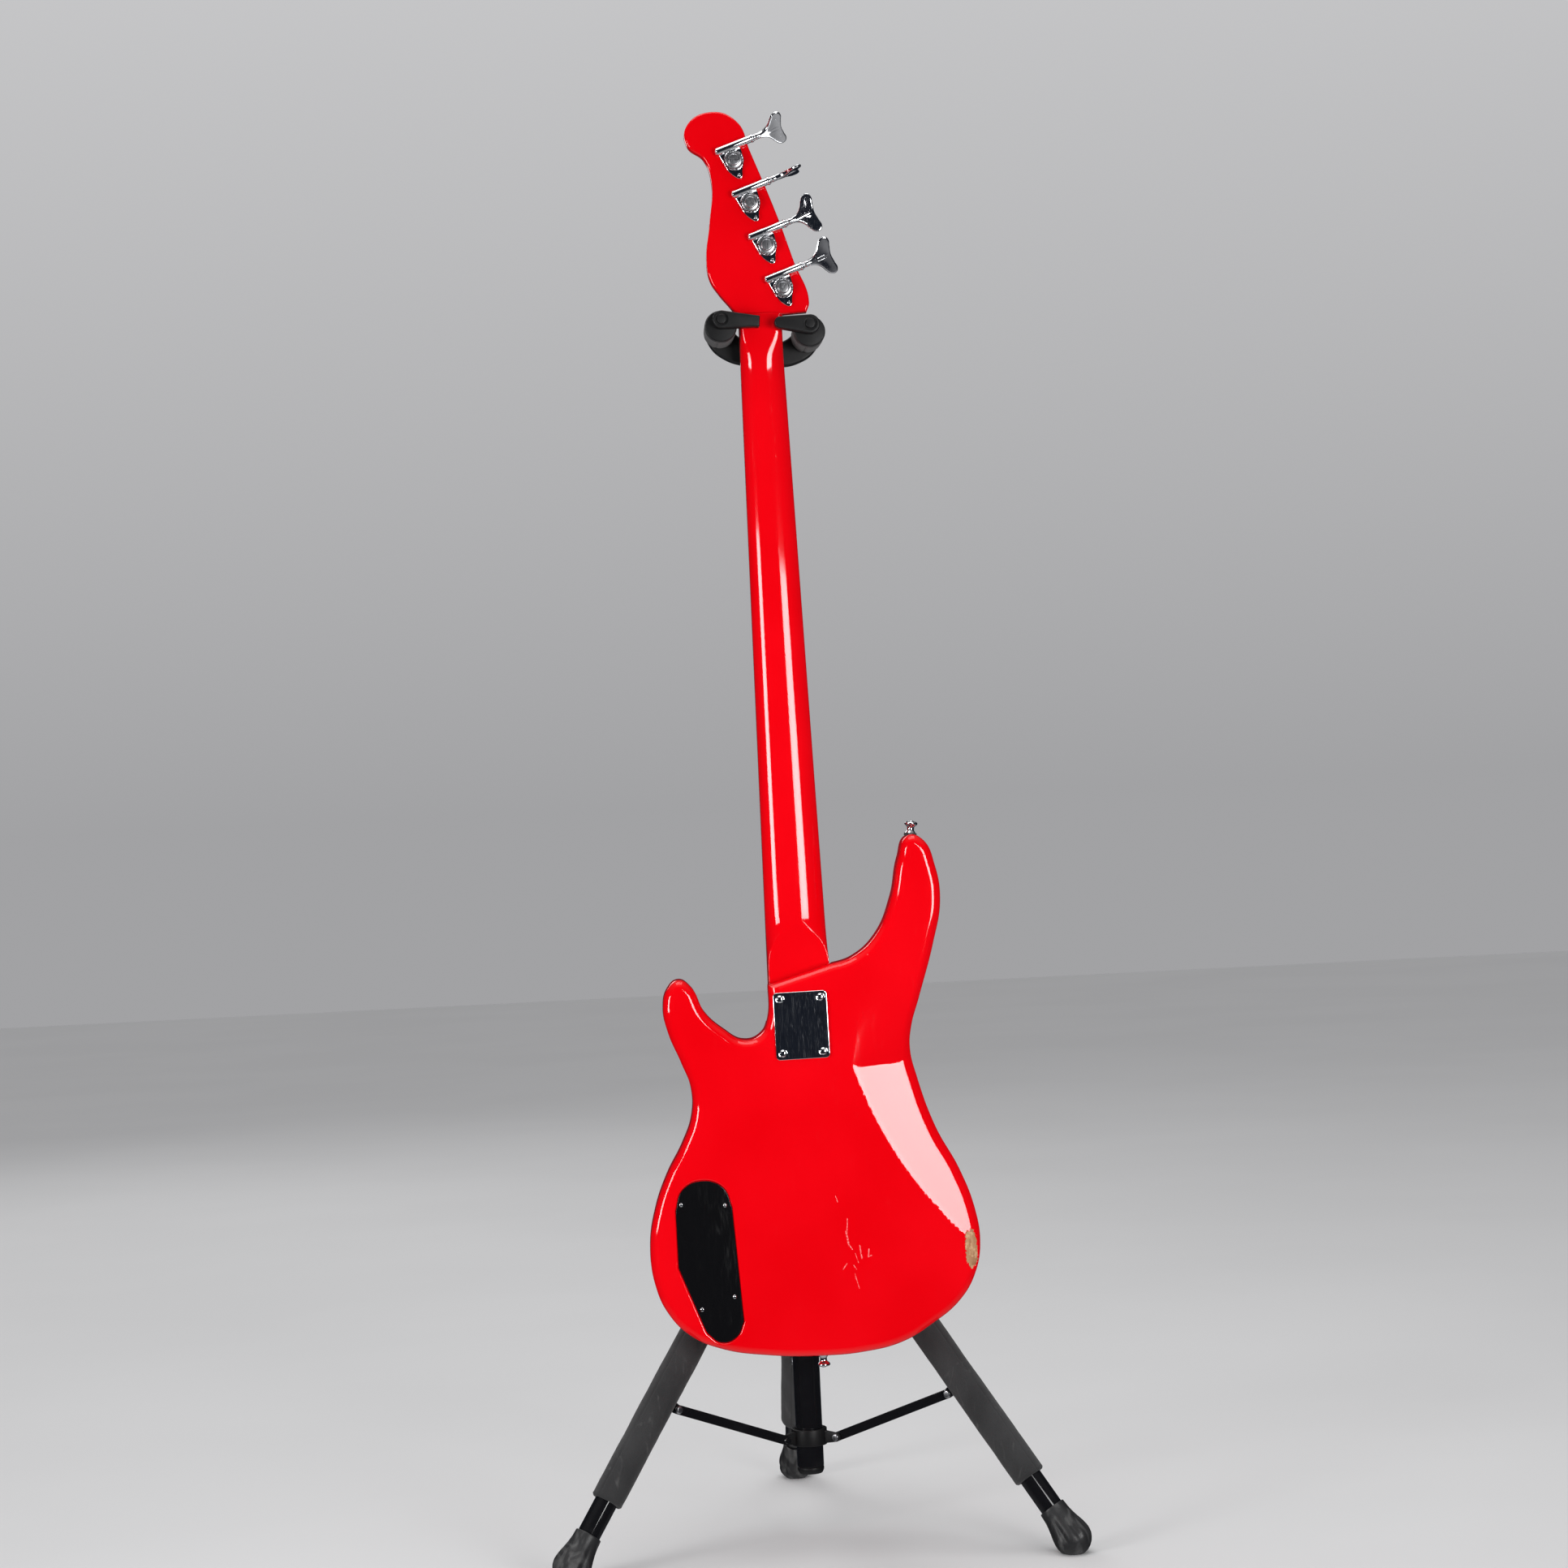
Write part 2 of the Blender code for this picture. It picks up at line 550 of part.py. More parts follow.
def loft(name, sections):
    """A solid through rings of (x, y) points, each at its own height z."""
    shape = bmesh.new()
    rings = []
    for z, ring in sections:
        rings.append([shape.verts.new((x * MM, y * MM, z * MM)) for x, y in ring])
    for low, high in zip(rings, rings[1:]):
        for i in range(len(low)):
            j = (i + 1) % len(low)
            shape.faces.new((low[i], low[j], high[j], high[i]))
    shape.faces.new(rings[0])
    shape.faces.new(rings[-1])
    bmesh.ops.recalc_face_normals(shape, faces=shape.faces)
    return mesh_of(name, shape)


def neck_sections():
    """The heel block, the flare into the rounded neck, and the volute into the headstock."""
    table = [
        (NECK_HEEL_S, HEEL_BACK, 9), (372, HEEL_BACK, 9), (386, HEEL_BACK + 0.6, 5), (400, 25.4, 3),
        (NECK_ROUND_S, NECK_ROUND_BACK, 2.4),
    ]
    for i in range(1, 6):
        s = NECK_ROUND_S + (NECK_THIN_S - NECK_ROUND_S) * i / 5
        back = NECK_ROUND_BACK + (NECK_THIN_BACK - NECK_ROUND_BACK) * i / 5
        table.append((s, back, 2.2))
    table.append((NUT_S + 5, 28.6, 2.3))
    sections = []
    for s, back, squareness in table:
        sections.append((s, neck_ring(neck_half_width(s), GLUE_PLANE, back, squareness)))
    sections.append((986, neck_ring(21.5, HEAD_FACE + 0.4, 27.2, 3)))
    sections.append((1003, neck_ring(30, HEAD_FACE - 0.4, HEAD_BACK + 0.3, 6)))
    return sections


def make_neck(guitar):
    neck = add("neck", loft("neck", neck_sections()), "red_lacquer", guitar)
    head = prism("headstock", HEAD_OUTLINE, HEAD_BACK, HEAD_FACE, edge=2.0)
    join(neck, add(head.name, head, parent=guitar))
    channel = box("rod_channel", (-3.2, 34, 290), (3.2, 60, 965))
    cut(neck, add(channel.name, channel, parent=guitar))
    for i in range(4):
        x, z = tuner_place(i)
        hole = rod(f"post_hole_{i}", (x, 10, z), (x, 60, z), 5.4, sides=16)
        cut(neck, add(hole.name, hole, parent=guitar))
    for number, (x, z) in enumerate(plate_holes()):
        hole = rod(f"neck_screw_hole_{number}", (x, 0, z), (x, 38, z), 2.3, sides=12)
        cut(neck, add(hole.name, hole, parent=guitar))
    mesh = box("truss_rod", (-2.8, 34.3, 290.3), (2.8, 43.6, 960))
    truss = add("truss_rod", mesh, "steel", guitar)
    nut = rod("truss_nut", (0, 39, 284), (0, 39, 296), 2.7, sides=6)
    cut(neck, add("truss_nut_slot", box("truss_nut_slot", (-3.2, 34, 276), (3.2, 60, 291)),
                  parent=guitar))
    join(truss, add(nut.name, nut, parent=guitar))


def make_fingerboard(guitar):
    sections = []
    low = GLUE_PLANE + GAP
    for s in (BOARD_END_S, NUT_S - 0.3):
        half = neck_half_width(s)
        crown = [(half * (1 - i / 5), low + 6.0 - 1.2 * (1 - i / 5) ** 2) for i in range(11)]
        sections.append((s, [(-half, low), (half, low)] + crown))
    add("fingerboard", loft("fingerboard", sections), "rosewood", guitar)
    half = NUT_HALF
    nut = box("nut", (-half, GLUE_PLANE + GAP, NUT_S), (half, GLUE_PLANE + 8, NUT_S + 4.5))
    add("nut", nut, "bone", guitar)


def plate_holes():
    x, z = PLATE_CENTRE
    return [(x + a * 19, z + b * 25.5) for a in (-1, 1) for b in (-1, 1)]


def make_body(guitar):
    """The body, with its neck pocket, cavities, cover rebate and belly cut."""
    mesh = prism("guitar_body", BODY_OUTLINE, 0, BODY_DEPTH, edge=BODY_EDGE)
    body = add("guitar_body", mesh, "red_lacquer", guitar)
    pocket_half = HEEL_HALF + GAP
    pocket = box(
        "neck_pocket", (-pocket_half, HEEL_BACK - GAP, NECK_HEEL_S - GAP),
        (pocket_half, 60, 420))
    rebate = prism("cover_rebate", COVER_OUTLINE, -10, COVER_DEPTH + GAP, resolution=2)
    cavity = prism("control_cavity", CAVITY_OUTLINE, -10, 33, resolution=2)
    belly = ball("belly_cut", BELLY_CENTRE, BELLY_R)
    neck_route = box("neck_pickup_route", (-46.5, 20, 204), (46.5, 60, 225))
    bridge_route = box("bridge_pickup_route", (-47.5, 20, 147), (47.5, 60, 168))
    cut(body, add(pocket.name, pocket, parent=guitar))
    cut(body, add(rebate.name, rebate, parent=guitar))
    cut(body, add(cavity.name, cavity, parent=guitar))
    cut(body, add(belly.name, belly, parent=guitar))
    cut(body, add(neck_route.name, neck_route, parent=guitar))
    cut(body, add(bridge_route.name, bridge_route, parent=guitar))
    holes = [(f"body_screw_hole_{n}", x, z, 2.6) for n, (x, z) in enumerate(plate_holes())]
    holes += [(f"knob_hole_{n}", x, z, 4.4) for n, (x, z) in enumerate(KNOB_PLACES)]
    holes.append(("jack_hole", *JACK_PLACE, 6.0))
    for name, x, z, radius in holes:
        hole = rod(name, (x, -5, z), (x, 60, z), radius, sides=12)
        cut(body, add(name, hole, parent=guitar))
    for name, (x, z), (dx, dz) in STRAP_BUTTONS:
        hole = rod(
            f"{name}_hole", (x - 2 * dx, 20, z - 2 * dz), (x + 14 * dx, 20, z + 14 * dz), 2.3,
            sides=12)
        cut(body, add(hole.name, hole, parent=guitar))


def make_body_hardware(guitar):
    x, z = PLATE_CENTRE
    outline = []
    for a, b, first in ((1, 1, 0), (-1, 1, 90), (-1, -1, 180), (1, -1, 270)):
        for step in range(4):
            angle = math.radians(first + 30 * step)
            outline.append((x + a * 21.5 + 4 * math.cos(angle), z + b * 27.7 + 4 * math.sin(angle), 1))
    mesh = prism("neck_plate", outline, -2.0, -GAP)
    plate = add("neck_plate", mesh, "chrome", guitar)
    for number, (x, z) in enumerate(plate_holes()):
        shank = rod(f"neck_screw_{number}", (x, -1.5, z), (x, 36, z), 2.0, sides=12)
        head = rod(f"neck_screw_head_{number}", (x, -3.6, z), (x, -1.2, z), 2.6, 4.4, sides=16)
        join(plate, add(shank.name, shank, parent=guitar), add(head.name, head, parent=guitar))
    inset = [(x * 0.996 - 0.41, z * 0.995 + 0.4, *rest) for x, z, *rest in COVER_OUTLINE]
    mesh = prism("control_cover", inset, 0.2, COVER_DEPTH, resolution=2)
    add("control_cover", mesh, "black_plastic", guitar)
    for number, (x, z) in enumerate(KNOB_PLACES):
        face = BODY_DEPTH
        turned(f"control_knob_{number + 1}", "chrome", [
            (0, 17.5), (8.2, 17.5), (9.3, 1), (4, 1), (4, -14), (0, -14),
        ], guitar, at=(x, face, z), turn=(-90, 0, 0))
    x, z = JACK_PLACE
    turned("output_jack", "chrome", [
        (3.5, 4), (6.5, 4), (7.2, 3), (11, 1.6), (11, GAP), (5.6, GAP), (5.6, -24), (3.5, -24),
    ], guitar, at=(x, BODY_DEPTH, z), turn=(-90, 0, 0), ring=True)
    for name, low, high in (("neck_pickup", 205.0, 224.0), ("bridge_pickup", 148.0, 167.0)):
        half = 45.8 if name == "neck_pickup" else 46.8
        mesh = box(name, (-half, 20.3, low), (half, BODY_DEPTH + 7, high))
        pickup = add(name, mesh, "black_plastic", guitar)
        bevel = pickup.modifiers.new("edges", "BEVEL")
        bevel.width = 2.0 * MM
        bevel.segments = 2
    profile = [(0, 12), (4.5, 12), (6.2, 10.6), (6.2, 9.4), (3.6, 6), (5.6, GAP), (2.0, GAP),
               (2.0, -12), (0, -12)]
    for name, (x, z), (dx, dz) in STRAP_BUTTONS:
        turned(name, "chrome", profile, guitar, at=(x, 20, z), sides=12,
               turn=(0, math.degrees(math.atan2(-dx, -dz)), 0))


def make_bridge(guitar):
    low, high, half = SADDLE_S - 45, SADDLE_S + 20, 40.0
    face = BODY_DEPTH + GAP
    plate = add("bridge_plate", box("bridge_plate", (-half, face, low), (half, face + 2.2, high)),
                "chrome", guitar)
    wall = box("bridge_wall", (-half, face, low), (half, face + 12, low + 2.4))
    join(plate, add(wall.name, wall, parent=guitar))
    for i in range(4):
        x = (i - 1.5) * STRING_SPACING
        base = face + 2.2 + GAP
        mesh = box(f"bridge_saddle_{i + 1}", (x - 8, base, SADDLE_S - 9), (x + 8, base + 10, SADDLE_S + 7))
        saddle = add(f"bridge_saddle_{i + 1}", mesh, "chrome", guitar)
        bevel = saddle.modifiers.new("edges", "BEVEL")
        bevel.width = 1.2 * MM
        bevel.segments = 2


def tuner_place(i):
    return TUNER_FIRST[0] + i * TUNER_STEP[0], TUNER_FIRST[1] + i * TUNER_STEP[1]


def make_tuner(guitar, i):
    """A tuner in its own frame: x along the worm, z across it, with the post on the origin."""
    number = i + 1
    x, z = tuner_place(i)
    tuner = empty(f"tuner_axis_{number}", (x, 0, z), (0, -TUNER_ANGLE, 0), guitar)
    mesh = prism(f"tuner_plate_{number}", TUNER_OUTLINE, 23.4, HEAD_BACK - GAP, resolution=2)
    plate = add(f"tuner_plate_{number}", mesh, "chrome", tuner)
    for label, low, high in (("in", -10.5, -7.5), ("out", 9.5, 12.5)):
        ear = box(
            f"tuner_ear_{label}_{number}", (low, WORM_Y - 4, WORM_V - 4), (high, 24, WORM_V + 4))
        join(plate, add(ear.name, ear, parent=tuner))
    sleeve = rod(
        f"tuner_sleeve_{number}", (11, WORM_Y, WORM_V), (27, WORM_Y, WORM_V), 3.7, 3.4, sides=16)
    join(plate, add(sleeve.name, sleeve, parent=tuner))
    worm_hole = rod(
        f"tuner_worm_hole_{number}", (-20, WORM_Y, WORM_V), (40, WORM_Y, WORM_V), 2.4, sides=12)
    post_hole = rod(f"tuner_post_hole_{number}", (0, 10, 0), (0, 40, 0), 6.4, sides=16)
    cut(plate, add(worm_hole.name, worm_hole, parent=tuner))
    cut(plate, add(post_hole.name, post_hole, parent=tuner))
    turned(f"tuner_post_{number}", "chrome", [
        (0, 57), (5.6, 56), (4.2, 50), (4.2, 46), (6.2, 42), (6.2, 39.4),
        (5.0, 39.4), (5.0, 22.8), (8.6, 22.8), (8.6, 18.6), (5.0, 17), (0, 17),
    ], tuner, turn=(-90, 0, 0), sides=12)
    key_axis = empty(
        f"tuner_key_axis_{number}", (0, WORM_Y, WORM_V), (TUNER_TURNS[i], 0, 0), tuner)
    paddle = prism(f"tuner_key_{number}", KEY_OUTLINE, -2.6, 2.6)
    key = add(f"tuner_key_{number}", paddle, "chrome", key_axis)
    shaft = rod(f"tuner_shaft_{number}", (-12.5, 0, 0), (34, 0, 0), 2.1, sides=12)
    worm = rod(f"tuner_worm_{number}", (-7, 0, 0), (9, 0, 0), 3.3, sides=12)
    collar = rod(f"tuner_collar_{number}", (27.4, 0, 0), (40, 0, 0), 3.6, 2.6, sides=12)
    for helper in (shaft, worm, collar):
        join(key, add(helper.name, helper, parent=key_axis))


def make_string_guide(guitar):
    turned("string_guide", "chrome", [
        (0, 9), (6, 9), (6.5, 8), (6.5, 7), (3, 6), (3, GAP), (0, GAP),
    ], guitar, at=(6, HEAD_FACE, 1012), turn=(-90, 0, 0), sides=16)


def build():
    start_scene()
    stand = empty("stand_axis", (0, STAND_Y, 0))
    guitar = empty(
        "guitar_axis", (GUITAR_X, STAND_Y + GUITAR_BACK, GUITAR_Z), (0, GUITAR_LEAN, 0))
    make_column(stand)
    make_hub(stand)
    for side, azimuth in LEG_AZIMUTHS.items():
        make_leg(stand, side, azimuth)
        make_strut(stand, side, azimuth)
    make_clutch(stand)
    make_shaft(stand)
    make_yoke(stand)
    make_body(guitar)
    make_neck(guitar)
    make_fingerboard(guitar)
    make_body_hardware(guitar)
    make_bridge(guitar)
    for i in range(4):
        make_tuner(guitar, i)
    make_string_guide(guitar)


build()
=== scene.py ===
"""The looks of an electric bass guitar that hangs by its headstock on a folding tripod stand.

Sizes are in millimetres, and MM turns them into metres. The guitar's own frame has x to the side,
y from its back to its strings and z up its neck. The stand's frame has its column on the Z axis.
Each tuner, leg and yoke has a frame of its own, as a matrix from its sizes in millimetres.
"""

import math

import bmesh
import bpy
import numpy as np
from mathutils import Matrix, Vector, geometry, kdtree, noise


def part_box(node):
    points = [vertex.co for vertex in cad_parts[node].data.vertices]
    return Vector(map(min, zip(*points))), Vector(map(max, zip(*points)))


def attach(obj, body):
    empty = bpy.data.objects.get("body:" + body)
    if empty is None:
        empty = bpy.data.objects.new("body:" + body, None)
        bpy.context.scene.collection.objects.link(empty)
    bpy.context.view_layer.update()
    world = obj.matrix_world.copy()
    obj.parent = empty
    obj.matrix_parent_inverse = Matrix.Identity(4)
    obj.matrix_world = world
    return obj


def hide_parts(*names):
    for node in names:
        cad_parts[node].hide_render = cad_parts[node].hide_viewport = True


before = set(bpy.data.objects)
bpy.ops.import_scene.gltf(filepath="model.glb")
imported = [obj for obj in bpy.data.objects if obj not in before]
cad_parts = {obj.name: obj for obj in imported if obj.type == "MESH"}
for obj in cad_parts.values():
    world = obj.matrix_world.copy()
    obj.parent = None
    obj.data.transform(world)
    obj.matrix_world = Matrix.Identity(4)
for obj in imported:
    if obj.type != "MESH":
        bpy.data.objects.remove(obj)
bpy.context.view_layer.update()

MM = 0.001


def place(at=(0, 0, 0), turn=(0, 0, 0), within=None):
    """A frame at a place in millimetres, turned by degrees about X, then Y, then Z."""
    turned_by = Matrix.Identity(4)
    for axis, angle in zip("XYZ", turn):
        turned_by = Matrix.Rotation(math.radians(angle), 4, axis) @ turned_by
    return (within or Matrix.Identity(4)) @ Matrix.Translation(Vector(at)) @ turned_by


def centre_of(node):
    """The middle of a CAD node's box, in millimetres."""
    low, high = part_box(node)
    return (low + high) / 2 / MM


COLUMN = centre_of("column_tube")
STAND = place((0, COLUMN.y, 0))
GUITAR_LEAN = -0.74
GUITAR = place((9, COLUMN.y - 132, 196), (0, GUITAR_LEAN, 0))
YOKE_X, YOKE_HEIGHT = -1.5, 1150
YOKE = place((YOKE_X, COLUMN.y, YOKE_HEIGHT), (0, 5, 0))

# Room left between two pieces that rest on each other
GAP = 0.1

# Stand sizes
TUBE_R = 13.0
LEG_R = 11.0
FOAM_R = 15.5
LEG_AZIMUTHS = {"left": -150, "right": -30, "rear": 90}
PIVOT_R, PIVOT_Z = 38.0, 331.4
FOOT_REACH, BALL_Z = 271.6, 15.0
LEG_ANGLE = math.degrees(math.atan((FOOT_REACH - PIVOT_R) / (PIVOT_Z - BALL_Z)))
LEG_LENGTH = math.hypot(FOOT_REACH - PIVOT_R, PIVOT_Z - BALL_Z)
LUG_ALONG, LUG_OFFSET = 217.0, 21.0
COLLAR_Z, COLLAR_PIVOT_R = 97.0, 29.0
ARM_X, ARM_Z, ARM_END = 42.0, 16.5, -108.0
FINGER_Z = 21.5

# Guitar sizes
BODY_DEPTH = 40.0
BODY_EDGE = 9.0
ROUTE_FLOOR, PAST_FRONT = 22, 60
GLUE_PLANE = 44.0
HEEL_BACK = 24.0
NUT_S, HEEL_S, SCALE = 975.0, 278.0, 864.0
NUT_HALF, HEEL_HALF = 20.3, 30.4
BOARD_END_S, BOARD_THICK, BOARD_CROWN = 314.0, 6.0, 1.2
HEAD_BACK, HEAD_FACE = 25.0, 39.0
HEAD_FLARE = (13.7, 28)
CREASE_ROUND = 0.6
PLATE_CENTRE = (-2.5, 312.0)
PLATE_SCREWS, PLATE_FLAT, PLATE_CORNER = (19, 25.5), (21.5, 27.7), 4
SADDLE_S = NUT_S - SCALE
STRING_HEIGHT = 52.5
STRING_RADII = (0.58, 0.75, 0.98, 1.28)
BRIDGE_SPACING, NUT_SPACING = 19.0, 10.6
INTONATION_OFFSET = 3.5
FRETS = 24
DOTTED_FRETS = (3, 5, 7, 9, 12, 15, 17, 19, 21, 24)
WORM_Y, WORM_Z = 19.5, 12.7
POST_R, WRAP_Y = 4.1, 48.6
TUNER_ANGLE = 19.0
TUNER_TURNS = (50, 90, 5, 25)
KNOB_PLACES = [(-104, 146), (-103, 111), (-99, 76)]
JACK_PLACE = (-92, 43)
# Each pickup's span along the strings and its half width
PICKUPS = [("neck_pickup", 205, 224, 45.8), ("bridge_pickup", 148, 167, 46.8)]
COVER_MIDDLE, COVER_ROOM = (-103, 98), 0.55
COVER_SCREWS = [(-125, 151), (-84, 148), (-111, 52), (-80, 62)]

# The belly cut is a shallow dish: a circle on the body's back, and the sphere through it
BELLY_CENTRE = (432.0, 387.0)
BELLY_R, BELLY_SPHERE = 405.0, 1600.0
BELLY_TOP = 269.0
BELLY_FADE = 150.0
BELLY_SLOPE = 0.2

LIP = 2.0
CHIP_AT = (145.5, 92.0)
CHIP_HALF = (6.2, 19.0)
CHIP_AREA, CHIP_FRONT = (9, 24), 22

BODY_OUTLINE = [
    (28, 367, 1), (50, 373), (73, 392), (90, 427), (99, 464), (109, 484), (122, 480),
    (133, 454), (136, 421), (127, 381), (111, 331), (102, 303), (100, 283), (105, 256),
    (120, 207), (140, 166), (152, 129), (155, 98), (148, 67), (132, 43), (105, 23),
    (76, 8), (39, 1), (-1, 0), (-52, 4), (-95, 13), (-123, 27), (-142, 48), (-153, 75),
    (-156, 111), (-149, 147), (-136, 179), (-120, 207), (-110, 232), (-109, 258),
    (-117, 283), (-128, 313), (-131, 335), (-126, 353), (-115, 361), (-104, 354),
    (-92, 329), (-75, 312), (-56, 301), (-40, 306), (-33, 320), (-31, 351, 1),
]
HEAD_OUTLINE = [
    (-22, 984, 1), (-28, 993), (-38, 1006), (-46, 1020), (-48, 1040), (-43, 1074),
    (-39, 1112), (-45, 1134), (-60, 1148), (-60, 1166), (-34, 1179), (-11, 1168),
    (-1, 1141), (22, 1076), (35, 1033), (47, 994), (44, 985, 1), (22, 984, 1),
]
# The neck's back and how square its section is, at heights up the neck
NECK_BACK = [
    (278, 4), (366, 10), (380, 15.5), (392, 20), (404, 23.6), (412, 24.7), (425, 25.3),
    (450, 25.9), (900, 29.2), (922, 29.3), (932, 29.0), (942, 28.2), (955, 26.9), (967, 25.8),
    (976, 25.4), (985, 25.2), (1003, 25.3),
]
NECK_SQUARE = [
    (278, 12), (366, 6), (384, 3.2), (396, 2.4), (404, 2.15), (942, 2.1), (950, 2.3),
    (957, 3.4), (963, 5.2), (970, 7.5), (980, 9), (1003, 9),
]
COVER_OUTLINE = [
    (-130.5, 146, 1), (-123, 165), (-104, 172.5), (-85, 165), (-77.5, 146, 1),
    (-72.5, 38, 1), (-80, 24), (-94, 19.5), (-107, 29, 1), (-109, 33, 1), (-131, 92, 1),
]
YOKE_OUTLINE = [
    (-55, 17), (-50, 3), (-36, -8), (-18, -13), (18, -13), (36, -8), (50, 3), (55, 17),
    (51, 27), (42, 30), (33, 27), (26, 16), (12, 9), (-12, 9), (-26, 16), (-33, 27),
    (-42, 30), (-51, 27),
]
TUNER_OUTLINE = [
    (-11.5, 15.5, 1), (-11, 8, 1), (-9.8, 0), (-8.6, -7), (-4.4, -15), (-0.6, -18.2),
    (1.6, -17.6), (4.6, -11.5), (8.4, -5), (10.2, 2), (10.8, 8, 1), (10.8, 15.5, 1),
]
KEY_OUTLINE = [
    (31, 2.6, 1), (37, 4.4), (41.5, 8.5), (44.5, 13.5), (48.5, 18), (53.4, 18.4), (56, 14.5),
    (55, 8), (53.8, 0), (55, -8), (56, -14.5), (53.4, -18.4), (48.5, -18), (44.5, -13.5),
    (41.5, -8.5), (37, -4.4), (31, -2.6, 1),
]

# ------------------------------------------------------------------------------------ materials


def mix_colours(tree, share, first, second):
    """The output of a node that goes from one colour to another. Each is a socket or a colour."""
    mix = tree.nodes.new("ShaderNodeMix")
    mix.data_type = "RGBA"
    tree.links.new(share, mix.inputs["Factor"])
    inlets = [socket for socket in mix.inputs if socket.type == "RGBA"]
    for socket, value in zip(inlets, (first, second)):
        if isinstance(value, bpy.types.NodeSocket):
            tree.links.new(value, socket)
        else:
            socket.default_value = (*value, 1)
    return next(socket for socket in mix.outputs if socket.type == "RGBA")


class Look:
    """A material and the few nodes that its recipe is made of."""

    def __init__(self, name, colour, roughness, metallic=0.0, **sockets):
        self.material = bpy.data.materials.new(name)
        self.material.use_nodes = True
        self.nodes = self.material.node_tree.nodes
        self.links = self.material.node_tree.links
        self.shader = self.nodes["Principled BSDF"]
        self.shader.inputs["Base Color"].default_value = (*colour, 1)
        self.shader.inputs["Roughness"].default_value = roughness
        self.shader.inputs["Metallic"].default_value = metallic
        for socket, value in sockets.items():
            self.shader.inputs[socket.replace("_", " ")].default_value = value
        self.place = self.nodes.new("ShaderNodeTexCoord").outputs["Object"]
        self.colour = None
        self.height = None

    def node(self, kind, inputs=(), **settings):
        made = self.nodes.new(f"ShaderNode{kind}")
        for key, value in settings.items():
            setattr(made, key, value)
        for socket, value in dict(inputs).items():
            if isinstance(value, bpy.types.NodeSocket):
                self.links.new(value, made.inputs[socket])
            else:
                made.inputs[socket].default_value = value
        return made

    def math(self, operation, first, second=0.0, third=0.0):
        made = self.node("Math", {0: first, 1: second, 2: third}, operation=operation)
        return made.outputs[0]

    def vector(self, operation, first, second=(0, 0, 0), output="Vector"):
        inputs = {0: first, 1: second}
        return self.node("VectorMath", inputs, operation=operation).outputs[output]

    def stretched(self, scale):
        return self.vector("MULTIPLY", self.place, scale)

    def noise(self, scale, detail=3.0, stretch=None, distortion=0.0):
        """Noise with a scale in cells a metre."""
        place_in = self.stretched(stretch) if stretch else self.place
        inputs = {"Vector": place_in, "Scale": scale, "Detail": detail, "Distortion": distortion}
        return self.node("TexNoise", inputs).outputs["Fac"]

    def cells(self, scale, feature="F1"):
        inputs = {"Vector": self.place, "Scale": scale}
        return self.node("TexVoronoi", inputs, feature=feature).outputs["Distance"]

    def ramp(self, value, low, high, out_low=0.0, out_high=1.0):
        inputs = {0: value, 1: low, 2: high, 3: out_low, 4: out_high}
        return self.node("MapRange", inputs).outputs[0]

    def mix(self, share, first, second):
        return mix_colours(self.material.node_tree, share, first, second)

    def paint(self, share, colour):
        """Mixes a colour in over what is there."""
        under = self.colour or self.shader.inputs["Base Color"].default_value[:3]
        self.colour = self.mix(share, under, colour)
        self.links.new(self.colour, self.shader.inputs["Base Color"])
        return self

    def rough(self, value, low, high):
        """Roughness from low to high as a value goes from 0 to 1."""
        self.links.new(self.ramp(value, 0, 1, low, high), self.shader.inputs["Roughness"])
        return self

    def bump(self, height, distance, strength=1.0):
        """Relief of a height from 0 to 1, with its depth in millimetres."""
        inputs = {"Height": height, "Distance": distance * MM, "Strength": strength}
        if self.height:
            inputs["Normal"] = self.height
        self.height = self.node("Bump", inputs).outputs["Normal"]
        self.links.new(self.height, self.shader.inputs["Normal"])
        return self

    def near_line(self, start, end, width):
        """1 on a line between two points in metres, falling to 0 a width away."""
        run = Vector(end) - Vector(start)
        offset = self.vector("SUBTRACT", self.place, tuple(start))
        along = self.vector("DOT_PRODUCT", offset, tuple(run / run.length_squared), "Value")
        share = self.node("Clamp", {"Value": along}).outputs[0]
        scaled = self.node("VectorMath", {0: tuple(run)}, operation="SCALE")
        self.links.new(share, scaled.inputs["Scale"])
        away = self.vector("DISTANCE", offset, scaled.outputs[0], "Value")
        return self.ramp(away, width * 0.35, width, 1.0, 0.0)


def guitar_point(x, y, z):
    return GUITAR @ Vector((x, y, z)) * MM


# Each scratch on the back: its ends in the guitar's frame and its half width
SCRATCHES = [
    ((20, 150), (22, 144), 0.25), ((30, 128), (28.5, 112), 0.6), ((28, 116), (30, 103), 1.0),
    ((30, 104), (33, 99), 0.5), ((40, 102), (41.5, 90), 0.8), ((48.5, 98), (47.5, 91), 0.8),
    ((47.5, 91), (50.5, 92), 0.7), ((35.5, 95), (38, 86), 0.4), ((34, 76), (37.5, 62), 0.4),
    ((27, 86), (23.5, 81), 0.6), ((33.5, 84), (36, 80), 0.35), ((-139, 42), (-137, 39), 0.9),
    ((61, 376), (63.5, 374.5), 1.1),
]


